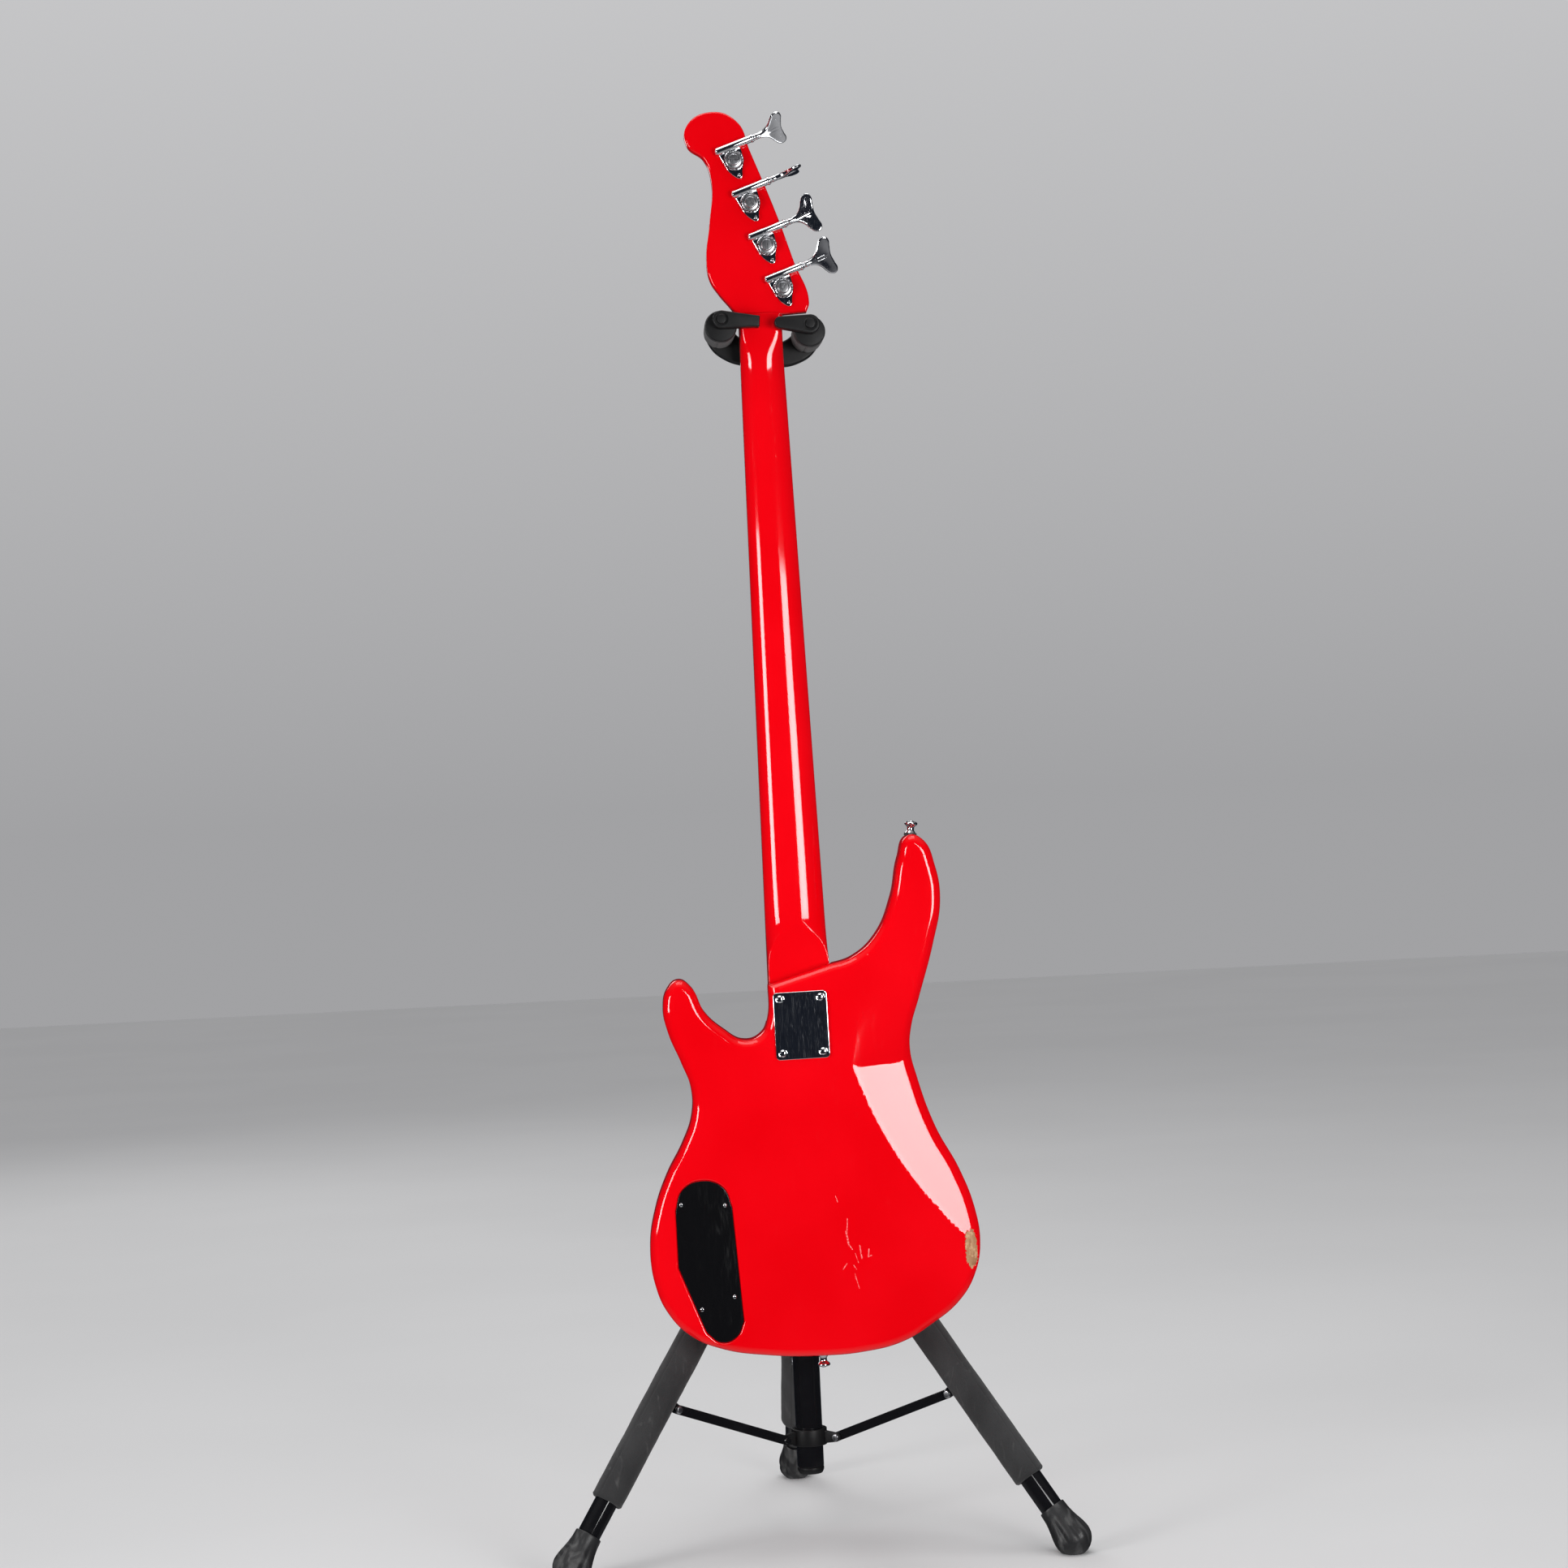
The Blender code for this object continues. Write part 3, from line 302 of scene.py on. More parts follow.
def lacquer():
    look = Look("red_lacquer", (0.70, 0.0, 0.003), 0.07, IOR=1.5)
    look.paint(look.ramp(look.noise(9.0, 2.0), 0.35, 0.65), (0.76, 0.001, 0.005))
    look.paint(look.ramp(look.noise(900.0, 2.0), 0.70, 0.80, 0.0, 0.10), (0.5, 0.0, 0.002))
    worn = None
    ragged = look.noise(700.0, 3.0)
    for (x, z), (x2, z2), width in SCRATCHES:
        line = look.near_line(guitar_point(x, 0, z), guitar_point(x2, 0, z2), width * MM)
        worn = line if worn is None else look.math("MAXIMUM", worn, line)
    worn = look.math("MULTIPLY", worn, look.ramp(ragged, 0.35, 0.6))
    look.paint(look.math("MULTIPLY", worn, 0.75), (0.95, 0.30, 0.30))
    hairs = look.ramp(look.noise(420.0, 5.0, (1, 1, 0.08), 1.2), 0.62, 0.80)
    look.rough(look.math("MAXIMUM", worn, look.math("MULTIPLY", hairs, 0.25)), 0.055, 0.5)
    look.bump(look.noise(28.0, 2.0), 0.10, 0.35)
    look.bump(look.noise(1100.0, 1.0), 0.002, 0.5)
    look.bump(look.math("SUBTRACT", 1.0, worn), 0.08, 0.8)
    return look.material


def chrome():
    look = Look("chrome", (0.86, 0.87, 0.89), 0.05, 1.0)
    look.paint(look.ramp(look.noise(140.0, 4.0), 0.52, 0.75, 0.0, 0.5), (0.55, 0.56, 0.58))
    hairs = look.noise(900.0, 4.0, (1, 1, 0.06), 2.0)
    look.rough(look.ramp(hairs, 0.5, 0.8), 0.04, 0.22)
    look.bump(look.noise(120.0, 2.0), 0.02, 0.3)
    return look.material


def brushed_steel():
    look = Look("nickel_steel", (0.52, 0.52, 0.54), 0.25, 1.0)
    look.paint(look.ramp(look.noise(60.0, 4.0), 0.4, 0.7), (0.40, 0.40, 0.41))
    grain = look.noise(1500.0, 3.0, (1, 1, 0.04))
    return look.rough(grain, 0.18, 0.42).bump(grain, 0.02, 0.5).material


def black_enamel():
    look = Look("black_enamel", (0.006, 0.006, 0.007), 0.13, 0.0, IOR=1.52)
    look.paint(look.ramp(look.noise(45.0, 4.0), 0.55, 0.75, 0.0, 0.6), (0.016, 0.016, 0.017))
    dust = look.ramp(look.noise(1600.0, 3.0), 0.70, 0.82)
    look.paint(look.math("MULTIPLY", dust, 0.35), (0.10, 0.10, 0.10))
    look.rough(look.ramp(look.noise(260.0, 5.0, (1, 1, 0.2)), 0.55, 0.85), 0.06, 0.22)
    look.bump(look.noise(700.0, 2.0), 0.012, 0.35)
    return look.material


def black_plastic(name="black_moulding", roughness=(0.34, 0.5), colour=(0.007, 0.007, 0.0075)):
    look = Look(name, colour, roughness[0], IOR=1.48, Specular_IOR_Level=0.3)
    look.paint(look.ramp(look.noise(55.0, 5.0), 0.45, 0.75, 0.0, 0.7), (0.014, 0.014, 0.0145))
    look.rough(look.noise(120.0, 4.0), *roughness)
    look.bump(look.noise(2600.0, 2.0), 0.04, 0.6)
    return look.material


def cover_plastic():
    look = Look("cover_plastic", (0.004, 0.004, 0.0045), 0.12, IOR=1.48)
    look.paint(look.ramp(look.noise(500.0, 3.0), 0.66, 0.78, 0.0, 0.3), (0.02, 0.02, 0.02))
    look.rough(look.ramp(look.noise(300.0, 5.0, (1, 1, 0.12), 1.0), 0.5, 0.8), 0.08, 0.3)
    look.bump(look.noise(40.0, 2.0), 0.05, 0.3)
    return look.material


def foam():
    look = Look("foam_skin", (0.012, 0.012, 0.013), 0.85, Sheen_Weight=0.12, Sheen_Roughness=0.6)
    look.paint(look.ramp(look.noise(26.0, 5.0, (1, 1, 0.5)), 0.42, 0.72), (0.026, 0.026, 0.027))
    chalk = look.ramp(look.noise(85.0, 6.0, (1, 1, 0.35), 1.5), 0.60, 0.78)
    look.paint(look.math("MULTIPLY", chalk, 0.45), (0.10, 0.10, 0.098))
    pores = look.cells(1300.0)
    look.rough(pores, 0.72, 0.95)
    look.bump(pores, 0.25, 0.6)
    look.bump(look.noise(110.0, 4.0), 0.6, 0.5)
    return look.material


def rubber():
    look = Look("foot_rubber", (0.018, 0.018, 0.019), 0.42, IOR=1.5)
    scuffs = look.ramp(look.noise(70.0, 6.0, (1, 1, 0.4), 1.0), 0.50, 0.72)
    look.paint(look.math("MULTIPLY", scuffs, 0.7), (0.12, 0.12, 0.118))
    look.rough(look.noise(90.0, 5.0), 0.28, 0.62)
    look.bump(look.noise(900.0, 4.0), 0.12, 0.6)
    return look.material


def rosewood():
    look = Look("rosewood", (0.060, 0.022, 0.013), 0.5)
    bands = look.noise(150.0, 4.0, (1, 1, 0.05), 0.8)
    look.paint(look.ramp(bands, 0.38, 0.66), (0.135, 0.052, 0.028))
    pores = look.ramp(look.noise(1500.0, 2.0, (1, 1, 0.03)), 0.60, 0.70)
    look.paint(pores, (0.022, 0.009, 0.006))
    look.rough(pores, 0.40, 0.75).bump(look.math("SUBTRACT", 1.0, pores), 0.08, 0.7)
    return look.material


def bare_wood():
    look = Look("bare_wood", (0.42, 0.22, 0.10), 0.7)
    look.paint(look.ramp(look.noise(600.0, 4.0, (1, 1, 0.08)), 0.35, 0.65), (0.30, 0.13, 0.05))
    blots = look.ramp(look.noise(260.0, 5.0), 0.52, 0.64)
    look.paint(look.math("MULTIPLY", blots, 0.8), (0.58, 0.36, 0.20))
    look.rough(blots, 0.55, 0.85).bump(look.noise(900.0, 5.0), 0.25, 0.8)
    return look.material


def bone():
    look = Look("bone", (0.78, 0.73, 0.61), 0.35, Subsurface_Weight=0.1)
    look.paint(look.ramp(look.noise(300.0, 4.0, (0.2, 1, 1)), 0.4, 0.7), (0.70, 0.62, 0.48))
    return look.rough(look.noise(500.0, 3.0), 0.25, 0.45).bump(look.noise(900.0), 0.02).material


def pearl():
    look = Look("pearl_dots", (0.82, 0.80, 0.76), 0.2, Coat_Weight=0.5)
    look.paint(look.ramp(look.noise(420.0, 3.0, distortion=2.0), 0.4, 0.6), (0.55, 0.60, 0.62))
    return look.rough(look.noise(300.0), 0.12, 0.3).bump(look.noise(500.0), 0.02).material


def wound_string():
    look = Look("wound_string", (0.62, 0.61, 0.60), 0.25, 1.0)
    inputs = {"Vector": look.place, "Scale": 420.0}
    winding = look.node("TexWave", inputs, bands_direction="Z").outputs["Fac"]
    # The grooves between the windings are painted darker: painted shade in the grooves.
    look.paint(look.ramp(winding, 0.0, 0.5, 0.7, 0.0), (0.22, 0.21, 0.20))
    return look.rough(winding, 0.35, 0.18).bump(winding, 0.12).material


LOOKS = {
    "red": lacquer(),
    "chrome": chrome(),
    "steel": brushed_steel(),
    "enamel": black_enamel(),
    "plastic": black_plastic(),
    "pickup": black_plastic("pickup_plastic", (0.22, 0.36), (0.009, 0.009, 0.010)),
    "cover": cover_plastic(),
    "foam": foam(),
    "rubber": rubber(),
    "rosewood": rosewood(),
    "wood": bare_wood(),
    "bone": bone(),
    "pearl": pearl(),
    "string": wound_string(),
}

# --------------------------------------------------------------------------------- mesh helpers


def mesh_of(name, shape, angle=35):
    mesh = bpy.data.meshes.new(name)
    shape.to_mesh(mesh)
    shape.free()
    mesh.shade_smooth()
    mesh.set_sharp_from_angle(angle=math.radians(angle))
    return mesh


def piece(name, mesh, within, look, body=None, *replaces, slot=None):
    """Puts a mesh in millimetres in the scene. A piece with no body is a tool for a cut."""
    mesh.transform(Matrix.Scale(MM, 4) @ within)
    made = bpy.data.objects.new(name, mesh)
    bpy.context.scene.collection.objects.link(made)
    if not mesh.materials:
        mesh.materials.append(LOOKS[look])
    if body:
        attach(made, body)
        if replaces:
            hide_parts(*replaces)
    return made


def tool(mesh, within=GUITAR, look="red"):
    """A mesh that is only there to cut a piece or to be joined to it."""
    return piece(mesh.name, mesh, within, look)


def combine(made, tools, operation):
    """Cuts tools from a piece or joins them to it, and applies the result."""
    for helper in tools:
        modifier = made.modifiers.new(helper.name, "BOOLEAN")
        modifier.operation = operation
        modifier.object = helper
        modifier.solver = "EXACT"
        modifier.material_mode = "TRANSFER"
    graph = bpy.context.evaluated_depsgraph_get()
    result = bpy.data.meshes.new_from_object(made.evaluated_get(graph))
    made.modifiers.clear()
    made.data = result
    for helper in tools:
        bpy.data.objects.remove(helper)
    result.shade_smooth()
    result.set_sharp_from_angle(angle=math.radians(35))
    return made


def merged(name, meshes):
    """One mesh of several that don't touch, or that only sink into each other."""
    shape = bmesh.new()
    for mesh in meshes:
        shape.from_mesh(mesh)
    return mesh_of(name, shape)


def moved(mesh, within):
    mesh.transform(within)
    return mesh


def rounded(points, radius, steps=3):
    """A line of points with its inner corners turned into arcs."""
    made = [points[0]]
    for before, corner, after in zip(points, points[1:], points[2:]):
        c = Vector(corner)
        first, last = Vector(before) - c, Vector(after) - c
        reach = min(radius, first.length * 0.45, last.length * 0.45)
        a, b = c + first.normalized() * reach, c + last.normalized() * reach
        for i in range(steps + 1):
            t = i / steps
            made.append(tuple(a * (1 - t) ** 2 + c * 2 * t * (1 - t) + b * t ** 2))
    made.append(points[-1])
    return made


def lathe(name, profile, sides=48, edge=0.6, swell=None, ring=False):
    """A profile of (radius, height) points turned about Z, with its corners rounded by edge.

    swell(angle, height) scales the radius there. A ring's profile is closed.
    """
    if ring:
        middle = tuple((Vector(profile[0]) + Vector(profile[-1])) / 2)
        profile = [middle, *profile, middle]
    points = rounded(profile, edge)
    if ring:
        points.pop()
    shape = bmesh.new()
    rings = []
    for r, z in points:
        if r < 1e-6:
            rings.append([shape.verts.new((0, 0, z))] * sides)
            continue
        turn = []
        for i in range(sides):
            angle = 2 * math.pi * i / sides
            radius = r * (swell(angle, z) if swell else 1.0)
            turn.append(shape.verts.new((radius * math.cos(angle), radius * math.sin(angle), z)))
        rings.append(turn)
    pairs = list(zip(rings, rings[1:])) + ([(rings[-1], rings[0])] if ring else [])
    for low, high in pairs:
        for i in range(sides):
            j = (i + 1) % sides
            corners = list(dict.fromkeys((low[i], low[j], high[j], high[i])))
            if len(corners) > 2:
                shape.faces.new(corners)
    bmesh.ops.recalc_face_normals(shape, faces=shape.faces)
    return mesh_of(name, shape)


def rod(name, start, end, radius, end_radius=None, sides=32, edge=0.4):
    """A round bar between two points, with rounded rims."""
    run = Vector(end) - Vector(start)
    last = radius if end_radius is None else end_radius
    made = lathe(name, [(0, 0), (radius, 0), (last, run.length), (0, run.length)], sides, edge)
    turn = run.to_track_quat("Z", "Y").to_matrix().to_4x4()
    return moved(made, Matrix.Translation(Vector(start)) @ turn)


def peg(name, at, low, high, radius, end_radius=None, **rest):
    """A round bar along Y at an (x, z) place."""
    x, z = at
    return rod(name, (x, low, z), (x, high, z), radius, end_radius, **rest)


def block(name, low, high, edge=0.8, steps=3):
    """A box between two corners, with rounded edges."""
    shape = bmesh.new()
    bmesh.ops.create_cube(shape, size=1.0)
    bmesh.ops.scale(shape, verts=shape.verts, vec=Vector(high) - Vector(low))
    bmesh.ops.translate(shape, verts=shape.verts, vec=(Vector(high) + Vector(low)) / 2)
    if edge:
        bmesh.ops.bevel(
            shape, geom=shape.edges[:], offset=edge, segments=steps, profile=0.5,
            affect="EDGES", clamp_overlap=True)
    return mesh_of(name, shape, 50)


def slab(name, outline, low, high, edge=1.0, resolution=10, edge_steps=4):
    """A flat outline in the XZ plane, from low to high along Y, with its edges rounded.

    A point with a third value is a corner, and the others lie on a smooth curve.
    """
    curve = bpy.data.curves.new(name, "CURVE")
    curve.dimensions = "2D"
    curve.fill_mode = "BOTH"
    curve.extrude = (high - low) / 2 - edge
    curve.bevel_depth = edge
    curve.offset = -edge
    curve.bevel_resolution = edge_steps
    curve.resolution_u = resolution
    spline = curve.splines.new("BEZIER")
    spline.use_cyclic_u = True
    spline.bezier_points.add(len(outline) - 1)
    for point, (x, z, *corner) in zip(spline.bezier_points, outline):
        point.co = (x, z, 0)
        handle = "VECTOR" if corner else "AUTO"
        point.handle_left_type = point.handle_right_type = handle
    guide = bpy.data.objects.new(name, curve)
    bpy.context.scene.collection.objects.link(guide)
    graph = bpy.context.evaluated_depsgraph_get()
    mesh = bpy.data.meshes.new_from_object(guide.evaluated_get(graph))
    bpy.data.objects.remove(guide)
    bpy.data.curves.remove(curve)
    shape = bmesh.new()
    shape.from_mesh(mesh)
    bmesh.ops.remove_doubles(shape, verts=shape.verts, dist=0.002)
    upright = Matrix.Translation((0, (low + high) / 2, 0)) @ Matrix.Rotation(math.pi / 2, 4, "X")
    bmesh.ops.transform(shape, verts=shape.verts, matrix=upright)
    bmesh.ops.recalc_face_normals(shape, faces=shape.faces)
    return mesh_of(name, shape)


def capsule(start, end, first_r, last_r, steps=8):
    """An outline round two circles."""
    angle = math.atan2(end[1] - start[1], end[0] - start[0])
    points = []
    for centre, radius, turn in ((start, first_r, math.pi / 2), (end, last_r, -math.pi / 2)):
        for i in range(steps + 1):
            a = angle + turn + math.pi * i / steps
            points.append((centre[0] + radius * math.cos(a), centre[1] + radius * math.sin(a), 1))
    return points


def skin(name, rings, closed=False, angle=35):
    """A skin over rings of points. A closed one joins its ends, and another has its ends filled."""
    shape = bmesh.new()
    rings = [[shape.verts.new(point) for point in ring] for ring in rings]
    for first, second in zip(rings, rings[1:] + (rings[:1] if closed else [])):
        for i in range(len(first)):
            j = (i + 1) % len(first)
            shape.faces.new((first[i], first[j], second[j], second[i]))
    if not closed:
        shape.faces.new(rings[0])
        shape.faces.new(rings[-1])
    bmesh.ops.recalc_face_normals(shape, faces=shape.faces)
    return mesh_of(name, shape, angle)


def loft(name, sections):
    """A solid through rings of (x, y) points, each at its own height z."""
    return skin(name, [[(x, y, z) for x, y in ring] for z, ring in sections])


def screw(name, at, radius, head):
    """A domed screw head that faces -Y, with a cross cut in it."""
    x, y, z = at
    dome = lathe(name, [(0, head), (radius * 0.55, head * 0.92), (radius, 0.2), (radius, -0.6),
                        (0, -0.6)], 32, 0.3)
    dome = moved(dome, place((x, y, z), (90, 0, 0)))
    made = piece(name, dome, Matrix.Identity(4), "chrome")
    tools = []
    for turn in (35, 125):
        bar = block(f"{name}_slot_{turn}", (-radius * 0.6, -3, -radius * 0.11),
                    (radius * 0.6, -head * 0.35, radius * 0.11), 0)
        tools.append(piece(bar.name, bar, place((x, y, z), (0, turn, 0)), "chrome"))
    mesh = combine(made, tools, "DIFFERENCE").data
    bpy.data.objects.remove(made)
    mesh.transform(Matrix.Scale(1 / MM, 4))
    mesh.materials.clear()
    return mesh


# ------------------------------------------------------------------------------------ the body


def belly_depth(x, z):
    """How deep the belly cut goes at a point of the back."""
    reach = math.hypot(x - BELLY_CENTRE[0], z - BELLY_CENTRE[1])
    if reach >= BELLY_R:
        return 0.0
    base = math.sqrt(BELLY_SPHERE ** 2 - BELLY_R ** 2)
    depth = math.sqrt(BELLY_SPHERE ** 2 - reach ** 2) - base
    past = max(0.0, z - belly_top(x))
    fade = max(0.0, 1 - past / BELLY_FADE) ** 2
    return depth * fade * math.exp(-past * BELLY_SLOPE / (depth + 0.3))


def belly_top(x):
    return BELLY_TOP + (x - 51) * 0.1


def chip_depth(x, z):
    """1 inside the paint chip's ragged outline, and 0 outside it."""
    u, v = (x - CHIP_AT[0]) / CHIP_HALF[0], (z - CHIP_AT[1]) / CHIP_HALF[1]
    ragged = 0.32 * noise.noise(Vector((x * 0.35, z * 0.35, 3.0)))
    ragged += 0.18 * noise.noise(Vector((x * 1.1, z * 1.1, 7.0)))
    return 1.0 if u * u * 0.9 + v ** 4 < 0.85 + 1.4 * ragged else 0.0


def inside(points, loop):
    """Which of the points lie inside a loop, by counting crossings."""
    found = np.zeros(len(points), bool)
    x, z = points[:, 0], points[:, 1]
    for (x1, z1), (x2, z2) in zip(loop, np.roll(loop, -1, axis=0)):
        crosses = (z1 > z) != (z2 > z)
        with np.errstate(divide="ignore", invalid="ignore"):
            found ^= crosses & (x < (x2 - x1) * (z - z1) / (z2 - z1) + x1)
    return found


def crease_lines():
    """The belly cut's inner edge and its top edge, as points 3 mm apart."""
    arc = []
    for i in range(90):
        angle = math.pi + math.radians(48 - 58 * i / 89)
        x = BELLY_CENTRE[0] + BELLY_R * math.cos(angle)
        z = BELLY_CENTRE[1] + BELLY_R * math.sin(angle)
        if z < belly_top(x):
            arc.append((x, z))
    left = max(arc, key=lambda p: p[1])[0]
    top = [(x, belly_top(x)) for x in np.arange(left, 112.0, 3.0)]
    return arc, top


def walk(shape, level):
    """The boundary at a level, as its points in order."""
    rim = [v for v in shape.verts if v.is_boundary and abs(v.co.y - level) < 0.01]
    loop, last, now = [rim[0]], None, rim[0]
    while True:
        steps = [e.other_vert(now) for e in now.link_edges if e.is_boundary]
        last, now = now, [v for v in steps if v is not last][0]
        if now is rim[0]:
            return loop
        loop.append(now)


def fill_cap(shape, level):
    """Fills one flat face of the body with small triangles that the belly cut can bend."""
    loop = walk(shape, level)
    outline = np.array([(v.co.x, v.co.z) for v in loop])
    tree = kdtree.KDTree(len(outline))
    for i, (x, z) in enumerate(outline):
        tree.insert((x, z, 0), i)
    tree.balance()
    grid = np.mgrid[-150:156:4.0, 4:488:4.0].reshape(2, -1).T
    extra = []
    if level < 1:
        arc, top = crease_lines()
        extra = arc + top
    points = np.vstack([grid, np.array(extra).reshape(-1, 2)])
    points = points[inside(points, outline)]
    kept = [tuple(p) for p in points if tree.find((*p, 0))[2] > 1.6]
    flat = [Vector(p) for p in outline] + [Vector(p) for p in kept]
    result = geometry.delaunay_2d_cdt(flat, [], [list(range(len(outline)))], 1, 1e-4)
    corners, faces = result[0], result[2]
    verts = []
    for x, z in corners:
        _, index, away = tree.find((x, z, 0))
        verts.append(loop[index] if away < 1e-3 else shape.verts.new((x, level, z)))
    for face in faces:
        shape.faces.new([verts[i] for i in face])


def body_mesh():
    mesh = slab("guitar_body_shell", BODY_OUTLINE, 0, BODY_DEPTH, BODY_EDGE, 14, 9)
    shape = bmesh.new()
    shape.from_mesh(mesh)
    for level in (0.0, BODY_DEPTH):
        flat = [f for f in shape.faces if all(abs(v.co.y - level) < 0.01 for v in f.verts)]
        bmesh.ops.delete(shape, geom=flat, context="FACES")
        fill_cap(shape, level)
    bmesh.ops.recalc_face_normals(shape, faces=shape.faces)
    for v in shape.verts:
        share = 1 - v.co.y / BODY_DEPTH
        v.co.y += belly_depth(v.co.x, v.co.z) * share
    chip_paint(shape)
    made = mesh_of("guitar_body", shape, 32)
    made.materials.append(LOOKS["red"])
    made.materials.append(LOOKS["wood"])
    return made


def chip_paint(shape):
    """Cuts the skin finely round the chip, sinks it there and gives it the bare wood."""
    def near(v):
        across, up = abs(v.co.x - CHIP_AT[0]), abs(v.co.z - CHIP_AT[1])
        return across < CHIP_AREA[0] and up < CHIP_AREA[1] and v.co.y < CHIP_FRONT

    for _ in range(3):
        edges = [e for e in shape.edges if e.calc_length() > 0.7 and all(near(v) for v in e.verts)]
        bmesh.ops.subdivide_edges(shape, edges=edges, cuts=1, use_grid_fill=True)
    bmesh.ops.triangulate(shape, faces=[f for f in shape.faces if len(f.verts) > 4])
    shape.normal_update()
    marks = {v: chip_depth(v.co.x, v.co.z) for v in shape.verts if v.co.y < CHIP_FRONT}
    for face in shape.faces:
        if all(marks.get(v, 0) > 0 for v in face.verts):
            face.material_index = 1
    for v, mark in marks.items():
        if mark:
            rough = 0.12 * noise.noise(Vector((v.co.x, v.co.y, v.co.z)) * 0.8)
            v.co -= v.normal * (0.55 + rough)


def outline_loop(outline, resolution=12):
    """The points round a smooth outline, in order."""
    shape = bmesh.new()
    shape.from_mesh(slab("guide", outline, 0, 1, 0, resolution, 0))
    flat = [f for f in shape.faces if all(abs(v.co.y) < 0.01 for v in f.verts)]
    bmesh.ops.delete(shape, geom=flat, context="FACES")
    loop = [v.co.copy() for v in walk(shape, 0.0)]
    return np.array([(p.x, p.z) for p in loop])


def grown(loop, distance):
    """A loop moved outwards by a distance."""
    run = np.roll(loop, -1, axis=0) - np.roll(loop, 1, axis=0)
    out = np.stack([run[:, 1], -run[:, 0]], axis=1) / np.linalg.norm(run, axis=1)[:, None]
    area = np.sum(loop[:, 0] * np.roll(loop[:, 1], -1) - np.roll(loop[:, 0], -1) * loop[:, 1])
    return loop + out * distance * np.sign(area)


def ring_mesh(name, rows, closed):
    """A skin over loops of (x, z) points, each with its own y."""
    return skin(name, [[(x, y, z) for x, z in loop] for loop, y in rows], closed)


def make_body():
    body = piece("bass_body", body_mesh(), GUITAR, "red", "guitar", "guitar_body")
    half, bottom = HEEL_HALF + 0.4, HEEL_BACK - 0.2
    tools = [
        tool(block("pocket", (-half, bottom, HEEL_S - 0.3), (half, PAST_FRONT, 430), 0)),
        tool(block("treble_crotch", (-40, bottom, 316), (-20, PAST_FRONT, 430), 0)),
        tool(block("route_1", (-46.5, ROUTE_FLOOR, 204), (46.5, PAST_FRONT, 225), 0)),
        tool(block("route_2", (-47.5, ROUTE_FLOOR, 147), (47.5, PAST_FRONT, 168), 0)),
        tool(peg("jack_bore", JACK_PLACE, 12, PAST_FRONT, 6)),
    ]
    loop = outline_loop(COVER_OUTLINE)
    rebate = ring_mesh("rebate", [(grown(loop, LIP), -6), (grown(loop, LIP), 2.6)], False)
    tools.append(tool(rebate))
    combine(body, tools, "DIFFERENCE")
    lip = [(grown(loop, LIP), 2.6), (grown(loop, LIP), 0.0)]
    for step in range(1, 6):
        angle = math.pi / 2 * step / 5
        lip.append((grown(loop, LIP * (1 - math.sin(angle))), LIP * (1 - math.cos(angle))))
    lip.append((loop, 2.6))
    piece("cavity_lip", ring_mesh("cavity_lip", lip, True), GUITAR, "red", "guitar")


# ------------------------------------------------------------------------------------- the neck


def neck_half(s):
    """Half the neck's width at a height up the neck."""
    return NUT_HALF + (HEEL_HALF - NUT_HALF) * (NUT_S - s) / (NUT_S - HEEL_S)


def along(table, s):
    """A table's value at a height up the neck, averaged over 16 mm so that it has no kinks."""
    heights, values = zip(*table)
    return float(np.mean([np.interp(s + step, heights, values) for step in (-8, -4, 0, 4, 8)]))


def neck_ring(s, half, top):
    """A D-shaped section whose back is cut flat at the heel, with a small round on the crease."""
    back, square = along(NECK_BACK, s), along(NECK_SQUARE, s)
    crease = math.radians(60)
    if back < HEEL_BACK:
        crease = min(crease, math.asin(((top - HEEL_BACK) / (top - back)) ** (square / 2)))

    def point(angle):
        c, d = math.cos(angle), math.sin(angle)
        x = half * math.copysign(abs(c) ** (2 / square), c)
        return Vector((x, max(HEEL_BACK, top - (top - back) * d ** (2 / square))))

    dense = np.array([point(crease * (i / 90) ** 2) for i in range(91)])
    run = np.concatenate([[0], np.cumsum(np.hypot(*np.diff(dense, axis=0).T))])
    reach = np.linspace(0, run[-1] - 1.0, 20)
    side = [Vector((np.interp(r, run, dense[:, 0]), np.interp(r, run, dense[:, 1])))
            for r in reach]
    middle = [point(crease + (math.pi - 2 * crease) * i / 18) for i in range(1, 18)]
    corner = point(crease)
    before = corner + (side[-1] - corner).normalized() * CREASE_ROUND
    after = corner + (middle[0] - corner).normalized() * CREASE_ROUND
    bend = [before * (1 - t) ** 2 + corner * 2 * t * (1 - t) + after * t * t
            for t in (0, 0.25, 0.5, 0.75, 1)]
    left = side + bend
    right = [Vector((-p.x, p.y)) for p in reversed(left)]
    return [tuple(p) for p in left + middle + right]


def make_neck():
    sections = []
    for s in [278, 320, 350, *np.arange(360, 430, 2.5), *np.arange(430, 925, 8.0),
              *np.arange(925, 1004, 3.0)]:
        half, top = neck_half(s), GLUE_PLANE
        if s > NUT_S:
            share = (s - NUT_S) / HEAD_FLARE[1]
            half = NUT_HALF + HEAD_FLARE[0] * share * share
            top = GLUE_PLANE + (HEAD_FACE - 0.6 - GLUE_PLANE) * min(1.0, share * 2.5)
        sections.append((s, neck_ring(s, half, top)))
    neck = piece("bass_neck", loft("neck", sections), GUITAR, "red", "guitar", "neck")
    head = slab("head", HEAD_OUTLINE, HEAD_BACK, HEAD_FACE, 2.4, 14, 6)
    combine(neck, [tool(head)], "UNION")
    holes = [tool(peg(f"post_hole_{i}", tuner_place(i), 10, PAST_FRONT, 5.3)) for i in range(4)]
    holes.append(tool(block("rod_mouth", (-3, 36, 270), (3, PAST_FRONT, 292), 0)))
    combine(neck, holes, "DIFFERENCE")


